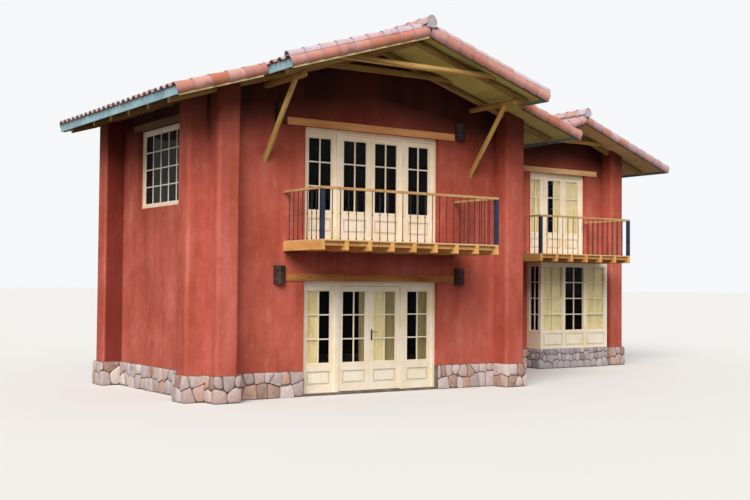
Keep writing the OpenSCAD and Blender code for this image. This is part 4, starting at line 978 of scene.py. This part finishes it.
main_tiles.finish("main", verge_clay, ("porch_upper_tiles", uppers, upper_clay))

wing_tiles = TileRows(WING_ROOF)
wing_tiles.zone(1, lambda y: WING_EAVE, WING_FRONT_Y, WING_BACK_Y, True, True, 41)
wing_tiles.zone(-1, lambda y: VALLEY_REACH if y < MAIN_Y else CATSLIDE_REACH,
                WING_FRONT_Y, WING_BACK_Y, True, True, 42)
wing_tiles.slab(1, WING_EAVE, WING_FRONT_Y + BED_IN, WING_BACK_Y - BED_IN)
wing_tiles.slab(-1, VALLEY_REACH + BED_IN, WING_FRONT_Y + BED_IN, BEHIND_MAIN)
wing_tiles.slab(-1, CATSLIDE_REACH, BEHIND_MAIN + SEAM, WING_BACK_Y - BED_IN)
wing_tiles.finish("wing", wing_verge_clay)

# Ridge tiles overlap along each ridge on a mortar bed, and a plug closes each end
PLUG_D, PLUG_WIDE, PLUG_HIGH, PLUG_FOOT, PLUG_IN = 0.02, 0.104, 0.156, -0.065, 0.012
caps, fillets, plugs = toned(), toned(), toned()
plug_tone = plugs.verts.layers.float["tone"]
rng = random.Random(51)
for (mid, ridge_z, pitch), y0, y1 in ((MAIN_ROOF, PORCH_Y, BACK_Y), (WING_ROOF, WING_FRONT_Y, WING_BACK_Y)):
    base = ridge_z + TILE_TOP / math.cos(pitch) + RIDGE_HALF * math.tan(pitch) - RIDGE_SUNK
    y = y0 + 0.004
    while y < y1 - 0.05:
        length = min(TILE_LONG, y1 - 0.008 - y)
        squeeze = Matrix.Diagonal((length / TILE_LONG, 1, 1, 1))
        turn = Matrix.Rotation(-math.pi / 2, 4, "Z") @ Matrix.Rotation(-LEAN, 4, "Y")
        place = Matrix.Translation((mid + rng.uniform(-0.004, 0.004), y + length, base))
        strew(caps, RIDGE, place @ turn @ squeeze, rng.uniform(0.45, 1.0))
        y += TILE_LONG - LAP + rng.uniform(-0.006, 0.006)
    beam(fillets, (mid - 0.085, y0 + 0.03, ridge_z + 0.1), (mid + 0.085, y1 - 0.03, base + 0.09), 0.03, 0.4)
    for foot in ((mid, y0 + PLUG_IN + PLUG_D, base + 0.013), (mid, y1 - PLUG_IN, base)):
        plug = drum(plugs, 28, 1, 1)
        bmesh.ops.scale(plugs, vec=(PLUG_WIDE, PLUG_HIGH, PLUG_D), verts=plug)
        bmesh.ops.rotate(plugs, verts=plug, matrix=Matrix.Rotation(math.pi / 2, 3, "X"))
        for vert in plug:
            vert.co.z = max(vert.co.z, PLUG_FOOT)
            vert[plug_tone] = rng.random()
        bmesh.ops.translate(plugs, vec=foot, verts=plug)
face_out(plugs)
piece("ridge_tiles", caps, field_clay, "ridge_caps")
piece("ridge_mortar", fillets, lavender_mortar, "ridge_caps")
piece("ridge_plugs", plugs, lavender_mortar, "ridge_caps")

# rubble stones
JOINT, STONE_W, BAY_STONE_W = 0.009, 0.27, 0.2
STONE_BACK, STONE_MOST, STONE_LEAST_AREA = 0.012, 0.9, 0.004
STONE_CORNER, STONE_EDGE, STONE_RISE, STONE_CROWN = (0.05, 0.085), 0.028, (0.012, 0.034), (0.008, 0.018)
PLINTH_ROWS = (0.0, 0.6, 1.0)
BAY_ROWS = (0.0, 1 / 2.12, 1.62 / 2.12, 1.0)


def scatter_stones(length, height, shares, wide, rng):
    """Middles of the stones in rows up a plinth's face. Each share is the top of a row."""
    rows = len(shares) - 1
    spots = []
    for row in range(rows):
        columns = max(1, round(length / wide / rng.uniform(0.8, 1.2) * (1.0 if row == 0 else 1.4)))
        middle = (shares[row] + shares[row + 1]) / 2
        for column in range(columns):
            along = (column + 0.5 + rng.uniform(-0.36, 0.36) + 0.5 * (row % 2)) * length / columns
            spots.append(Vector((along, (middle + rng.uniform(-0.25, 0.25) / rows) * height, 0)))
    return spots


def stone_run(bm, corners, height, out, seed, wide=STONE_W, shares=PLINTH_ROWS):
    """Fitted stones along a run of plinth faces, bent round its outer corners.
    Each stone is one cell of the face, shrunk by the joint, raised and rounded."""
    rng = random.Random(seed)
    turns = [Vector((x, y, 0)) for x, y in corners]
    faces = [(b - a).normalized() for a, b in zip(turns, turns[1:])]
    outward = [Vector((-d.y, d.x, 0)) for d in faces]
    ends = [0.0]
    for a, b in zip(turns, turns[1:]):
        ends.append(ends[-1] + (b - a).length)
    length = ends[-1]
    spots = scatter_stones(length, height, shares, wide, rng)

    def folded(co):
        index = 0
        while index < len(faces) - 1 and co.x > ends[index + 1] + 1e-4:
            index += 1
        lift = outward[index] * co.z
        if index < len(faces) - 1 and abs(co.x - ends[index + 1]) < 1e-4:
            lift = (outward[index] + outward[index + 1]) * co.z * 0.55
        bent = turns[index] + faces[index] * (co.x - ends[index]) + lift
        return Vector((bent.x, bent.y, max(co.y, 0.0015)))

    for spot in spots:
        if not 0 < spot.x < length:
            continue
        cell = bmesh.new()
        grid = bmesh.ops.create_grid(cell, x_segments=1, y_segments=1, size=STONE_MOST / 2)
        bmesh.ops.translate(cell, vec=spot, verts=grid["verts"])
        near = [(s, s - spot) for s in spots if s is not spot and (s - spot).length < STONE_MOST]
        planes = [((s + spot) / 2, d.normalized()) for s, d in sorted(near, key=lambda c: c[1].length)]
        planes += [(Vector((0, 0, 0)), Vector((-1, 0, 0))), (Vector((length, 0, 0)), Vector((1, 0, 0))),
                   (Vector((0, 0, 0)), Vector((0, -1, 0))), (Vector((0, height, 0)), Vector((0, 1, 0)))]
        for co, normal in planes:
            slice_at(cell, co - normal * JOINT, normal)
            if not cell.faces:
                break
        if sum(f.calc_area() for f in cell.faces) < STONE_LEAST_AREA:
            cell.free()
            continue
        round_off(cell, cell.verts[:], rng.uniform(*STONE_CORNER), affect="VERTICES")
        made = bmesh.ops.extrude_face_region(cell, geom=cell.faces[:], use_keep_orig=True)["geom"]
        top = only(BMFace, made)
        rise = out + rng.uniform(*STONE_RISE) + STONE_BACK
        bmesh.ops.translate(cell, vec=(0, 0, rise), verts=only(BMVert, made))
        rim = list({e for f in top for e in f.edges if len([x for x in e.link_faces if x in top]) == 1})
        round_off(cell, rim, STONE_EDGE)
        crest = max(v.co.z for v in cell.verts) - 1e-4
        crown = [f for f in cell.faces if all(v.co.z > crest for v in f.verts)]
        if crown:
            bmesh.ops.poke(cell, faces=crown, offset=rng.uniform(*STONE_CROWN))
        for at in ends[1:-1]:
            if min(v.co.x for v in cell.verts) < at < max(v.co.x for v in cell.verts):
                slice_at(cell, (at, 0, 0), (1, 0, 0), clear=False)
        face_out(cell)
        layer, value = cell.verts.layers.float.new("tone"), rng.random()
        for vert in cell.verts:
            vert.co = folded(vert.co - Vector((0, 0, STONE_BACK)))
            vert[layer] = value
        pour(cell, bm)


# Corners of the plinths: OUT is how far a plinth stands out of its wall
OUT = 0.02
side_x, outer_x = MAIN_X + OUT, MAIN_X + BUTTRESS + OUT
front_y, nose_y = -MAIN_Y - OUT, -MAIN_Y - BUTTRESS - OUT
left_foot_x, right_foot_x = -MAIN_X + WALL + OUT, MAIN_X - 0.52 - OUT
wing_x, wing_foot_x = WING_X1 + OUT, WING_X1 - WALL - OUT
wing_y, wing_nose_y = WING_Y0 - OUT, WING_Y0 - BUTTRESS - OUT
MAIN_RUNS = (
    [(-UNIT_W / 2, front_y), (left_foot_x, front_y)],
    [(left_foot_x, front_y), (left_foot_x, nose_y), (-side_x, nose_y), (-side_x, front_y)],
    [(-side_x, front_y), (-outer_x, front_y), (-outer_x, -MAIN_Y + WALL), (-side_x, -MAIN_Y + WALL)],
    [(-side_x, -MAIN_Y + WALL), (-side_x, MAIN_Y - WALL)],
    [(-side_x, MAIN_Y - WALL), (-outer_x, MAIN_Y - WALL), (-outer_x, MAIN_Y + OUT),
     (MAIN_X - OUT, MAIN_Y + OUT)],
    [(side_x, wing_y), (side_x, nose_y), (right_foot_x, nose_y), (right_foot_x, front_y)],
    [(right_foot_x, front_y), (UNIT_W / 2, front_y)])
WING_RUNS = (
    [(MAIN_X - OUT, MAIN_Y + OUT), (MAIN_X - OUT, WING_Y1 + OUT), (wing_x, WING_Y1 + OUT),
     (wing_x, wing_nose_y), (wing_foot_x, wing_nose_y), (wing_foot_x, wing_y)],
    [(wing_foot_x, wing_y), (BAY_X1, wing_y)],
    [(BAY_X0, wing_y), (side_x, wing_y)])
for block, runs, first_seed in (("main", MAIN_RUNS, 61), ("wing", WING_RUNS, 71)):
    stones = toned()
    for i, corners in enumerate(runs):
        stone_run(stones, corners, PLINTH_HIGH, OUT * 0.3, first_seed + i)
    piece(block + "_plinth_stones", stones, rubble, sharp=50)

bay_y = WING_Y0 - BAY_OUT
bay_stones = toned()
stone_run(bay_stones, [(BAY_X1, wing_y), (BAY_X1, bay_y), (BAY_X0, bay_y), (BAY_X0, wing_y)],
          BAY_BASE, 0.0, 74, BAY_STONE_W, BAY_ROWS)
piece("bay_stones", bay_stones, bay_rubble, sharp=50)

# glazing bars
BAR_W, BAR_D = 0.026, 0.034
BEAD_W, BEAD_D = 0.014, 0.024
SASH_W, SASH_D = 0.032, 0.044
PANE_W = 0.42
UNIT_CLEAR = UNIT_H - HEAD
PANE_Y = REVEAL + FRAME_D - LEAF_T / 2


def slat(bm, x0, z0, x1, z1, y, deep, bevel, place=None):
    """One strip of joinery, centred on a depth of y."""
    beam(bm, (x0, y - deep / 2, z0), (x1, y + deep / 2, z1), bevel, place=place)


def bars(bm, x0, x1, z0, z1, y, columns, rows, place=None):
    """Bars that divide one glazed light, and a bead round its edge."""
    for i in range(1, columns):
        x = x0 + i * (x1 - x0) / columns
        slat(bm, x - BAR_W / 2, z0, x + BAR_W / 2, z1, y, BAR_D, 0.006, place)
    for i in range(1, rows):
        z = z0 + i * (z1 - z0) / rows
        slat(bm, x0, z - BAR_W / 2, x1, z + BAR_W / 2, y, BAR_D - 0.002, 0.006, place)
    for edge in ((x0, z0, x0 + BEAD_W, z1), (x1 - BEAD_W, z0, x1, z1),
                 (x0, z0, x1, z0 + BEAD_W), (x0, z1 - BEAD_W, x1, z1)):
        slat(bm, *edge, y, BEAD_D, 0.004, place)


def leaf_bars(bm, x0, x1, sill, y, top_gap=0.0):
    """Bars of one leaf between its stiles, two panes wide and three high."""
    bars(bm, x0 + STILE, x1 - STILE, sill + KICK, sill + UNIT_CLEAR - top_gap - STILE, y, 2, 3)


outer_light = (POST_X + POST / 2, UNIT_W / 2 - FRAME_W)
inner_leaf = (LEAF_GAP / 2, POST_X - POST / 2)
house_bars = bmesh.new()
for sill, lights in ((GROUND_SILL, [outer_light]), (UPPER_SILL, [outer_light, inner_leaf])):
    for near, far in lights:
        leaf_bars(house_bars, near, far, sill, PANE_Y - MAIN_Y)
        leaf_bars(house_bars, -far, -near, sill, PANE_Y - MAIN_Y)
wing_x0 = WING_RIDGE_X - WING_UNIT_W / 2
wing_end = WING_RIDGE_X + WING_UNIT_W / 2 - FRAME_W
wing_post = wing_x0 + WING_POST_IN
wing_mid = (wing_post + POST / 2 + wing_end) / 2
for x0, x1 in ((wing_x0 + FRAME_W, wing_post - POST / 2), (wing_post + POST / 2, wing_mid - LEAF_GAP / 2),
               (wing_mid + LEAF_GAP / 2, wing_end)):
    leaf_bars(house_bars, x0, x1, UPPER_SILL, PANE_Y + WING_Y0)
piece("unit_bars", house_bars, limed)
for body, sign in (("left_leaf", -1), ("right_leaf", 1)):
    door_bars = bmesh.new()
    x0, x1 = sorted((sign * LEAF_GAP / 2, sign * (inner_leaf[1] - LEAF_GAP)))
    leaf_bars(door_bars, x0, x1, GROUND_SILL, PANE_Y - MAIN_Y, LEAF_GAP)
    piece(body + "_bars", door_bars, limed, body=body)

# Side and back windows: the middle of the sill, the turn, the width
SIDE_LEVEL = FLOOR + SILL_UP
WINDOWS = [((-MAIN_X + REVEAL, 0, SIDE_LEVEL), -90, WINDOW_W),
           ((MAIN_X - REVEAL, -VALLEY_WINDOW_Y, SIDE_LEVEL), 90, VALLEY_WINDOW_W),
           ((WING_X1 - REVEAL, (WING_Y0 + WING_Y1) / 2, SIDE_LEVEL), 90, WINDOW_W)]
WINDOWS += [((x, y - REVEAL, level + SILL_UP), 180, WINDOW_W)
            for x, y in ((0, MAIN_Y), (WING_RIDGE_X, WING_Y1)) for level in (0, FLOOR)]
window_bars = bmesh.new()
for sill_at, degrees, width in WINDOWS:
    place = Matrix.Translation(sill_at) @ Matrix.Rotation(math.radians(degrees), 4, "Z")
    edge, half, top = FRAME_W + SASH_W, width / 2, WINDOW_H - FRAME_W
    bars(window_bars, edge - half, half - edge, edge, WINDOW_H - edge, FRAME_D / 2, round(width / PANE_W), 4,
         place)
    for sash in ((FRAME_W - half, FRAME_W, edge - half, top), (half - edge, FRAME_W, half - FRAME_W, top),
                 (edge - half, FRAME_W, half - edge, edge), (edge - half, WINDOW_H - edge, half - edge, top)):
        slat(window_bars, *sash, FRAME_D / 2, SASH_D, 0.004, place)
piece("window_bars", window_bars, limed)

bay_bars = bmesh.new()
bay_pane = FRAME_D / 2 + 0.003
bay_step = (BAY_X1 - BAY_X0 - BAY_POST) / 3
for i in range(3):
    x0 = BAY_X0 + BAY_POST + i * bay_step
    bars(bay_bars, x0, x0 + bay_step - BAY_POST, BAY_SILL, BAY_TOP - BAY_POST, bay_y + bay_pane, 2, 4)
for x in (BAY_X0 + bay_pane, BAY_X1 - FRAME_D + bay_pane):
    place = Matrix.Translation((x, bay_y + BAY_POST, 0)) @ Matrix.Rotation(math.pi / 2, 4, "Z")
    bars(bay_bars, 0, BAY_OUT - BAY_POST - FRAME_D, BAY_SILL, BAY_TOP - BAY_POST, 0, 2, 4, place)
piece("bay_bars", bay_bars, limed)

# balcony decks
DECK_BOARD_W, DECK_SEAM = 0.14, 0.002
deck_boards = bmesh.new()
for x0, x1, wall_y, depth in DECKS:
    count = round(depth / DECK_BOARD_W)
    for i in range(count):
        ya, yb = [wall_y - depth + k * depth / count for k in (i, i + 1)]
        front_gap = DECK_SEAM if i else 0.0
        beam(deck_boards, (x0, ya + front_gap, FLOOR - DECK_T), (x1, yb - DECK_SEAM, FLOOR), 0.003)
piece("deck_boards", deck_boards, deck_wood, "balcony_decks")

# wall lamps
LAMP_R, LAMP_HIGH, LAMP_T, LAMP_RIM = 0.12, 0.35, 0.003, 0.018
LAMP_COLUMNS, LAMP_ROWS = 16, 14


def pierced(middle):
    """Whether a cell of the lamp's sheet is one of its holes."""
    column = math.floor((middle.x + 0.5) * LAMP_COLUMNS)
    row = math.floor((middle.y + 0.5) * LAMP_ROWS)
    return column % 3 == 1 and row % 4 in (1, 2) and abs(middle.y) < 0.42


def pierced_lamp(bm, x, z):
    """A half round of sheet iron with pierced holes, closed at the top and the foot."""
    sheet = bmesh.new()
    bmesh.ops.create_grid(sheet, x_segments=LAMP_COLUMNS, y_segments=LAMP_ROWS, size=0.5)
    holes = [f for f in sheet.faces if pierced(f.calc_center_median())]
    bmesh.ops.delete(sheet, geom=holes, context="FACES")
    for vert in sheet.verts:
        angle = (vert.co.x + 0.5) * math.pi
        vert.co = Vector((x - LAMP_R * math.cos(angle), -MAIN_Y - 0.0005 - LAMP_R * math.sin(angle),
                          z + (vert.co.y + 0.5) * LAMP_HIGH))
    face_out(sheet)
    bmesh.ops.solidify(sheet, geom=sheet.faces[:], thickness=LAMP_T)
    face_out(sheet)
    pour(sheet, bm)
    for low_z in (z, z + LAMP_HIGH - LAMP_RIM):
        rim = drum(bm, 24, LAMP_R - LAMP_T / 2, LAMP_RIM)
        for vert in rim:
            vert.co.y = min(vert.co.y, 0.0)
        bmesh.ops.translate(bm, vec=(x, -MAIN_Y - SEAM, low_z), verts=rim)


lamps = bmesh.new()
low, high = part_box("wall_lamps")
for side in (-1, 1):
    for z in (low.z, high.z - LAMP_HIGH):
        pierced_lamp(lamps, side * (high.x - LAMP_R), z)
piece("pierced_lamps", lamps, lamp_iron, "wall_lamps")

# stage, light and camera
STAGE_HALF, STAGE_DROP = 400, 0.002
AMBIENT, BACKDROP, SKY_TINT = 0.46, 0.95, (0.97, 0.98, 1.0, 1)
SUN_FROM, SUN_STRENGTH, SUN_WIDTH, SUN_TINT = (-0.62, -0.66, 0.74), 3.8, math.radians(42), (1.0, 0.97, 0.93)
EYE, LENS, SENSOR = (-12.676, -20.818, 2.172), 53.32, 36.0
YAW, PITCH, ROLL = math.radians(34.4045), math.radians(1.7967), math.radians(0.4895)

ground = bmesh.new()
bmesh.ops.create_grid(ground, x_segments=1, y_segments=1, size=STAGE_HALF)
floor_look = Finish("stage_floor", 0.95, 0.1)
seen_tint = floor_look.mix(floor_look.noise(0.4, 3), (0.73, 0.725, 0.71), (0.75, 0.745, 0.73))
camera_ray = floor_look.add("LightPath", {}).outputs["Is Camera Ray"]
stage_floor = show("stage_floor", to_mesh("stage_floor", ground))
stage_floor.data.materials.append(floor_look.done(floor_look.mix(camera_ray, (0.2, 0.2, 0.19), seen_tint)))
stage_floor.location = (0, 0, -STAGE_DROP)

world = bpy.data.worlds.new("studio")
world.use_nodes = True
bpy.context.scene.world = world
tree = world.node_tree
back = tree.nodes["Background"]
path = tree.nodes.new("ShaderNodeLightPath")
seen = tree.nodes.new("ShaderNodeMath")
seen.operation = "MAXIMUM"
tree.links.new(path.outputs["Is Camera Ray"], seen.inputs[0])
tree.links.new(path.outputs["Is Glossy Ray"], seen.inputs[1])
strength = tree.nodes.new("ShaderNodeMapRange")
for key, value in (("From Min", 0.0), ("From Max", 1.0), ("To Min", AMBIENT), ("To Max", BACKDROP)):
    strength.inputs[key].default_value = value
tree.links.new(seen.outputs[0], strength.inputs["Value"])
tree.links.new(strength.outputs[0], back.inputs["Strength"])
back.inputs["Color"].default_value = SKY_TINT

sun_data = bpy.data.lights.new("soft_sun", "SUN")
sun_data.energy = SUN_STRENGTH
sun_data.angle = SUN_WIDTH
sun_data.color = SUN_TINT
sun = show("soft_sun", sun_data)
sun.rotation_euler = Vector(SUN_FROM).to_track_quat("Z", "Y").to_euler()

forward = Vector((math.sin(YAW) * math.cos(PITCH), math.cos(YAW) * math.cos(PITCH), math.sin(PITCH)))
level = Vector((math.cos(YAW), -math.sin(YAW), 0))
upward = level.cross(forward)
right = math.cos(ROLL) * level + math.sin(ROLL) * upward
up = -math.sin(ROLL) * level + math.cos(ROLL) * upward
camera_data = bpy.data.cameras.new("camera")
camera_data.sensor_width = SENSOR
camera_data.lens = LENS
camera_data.clip_end = 1000
camera = show("camera", camera_data)
camera.matrix_world = Matrix.Translation(EYE) @ Matrix((right, up, -forward)).transposed().to_4x4()
bpy.context.scene.camera = camera
bpy.context.scene.view_settings.view_transform = "Standard"
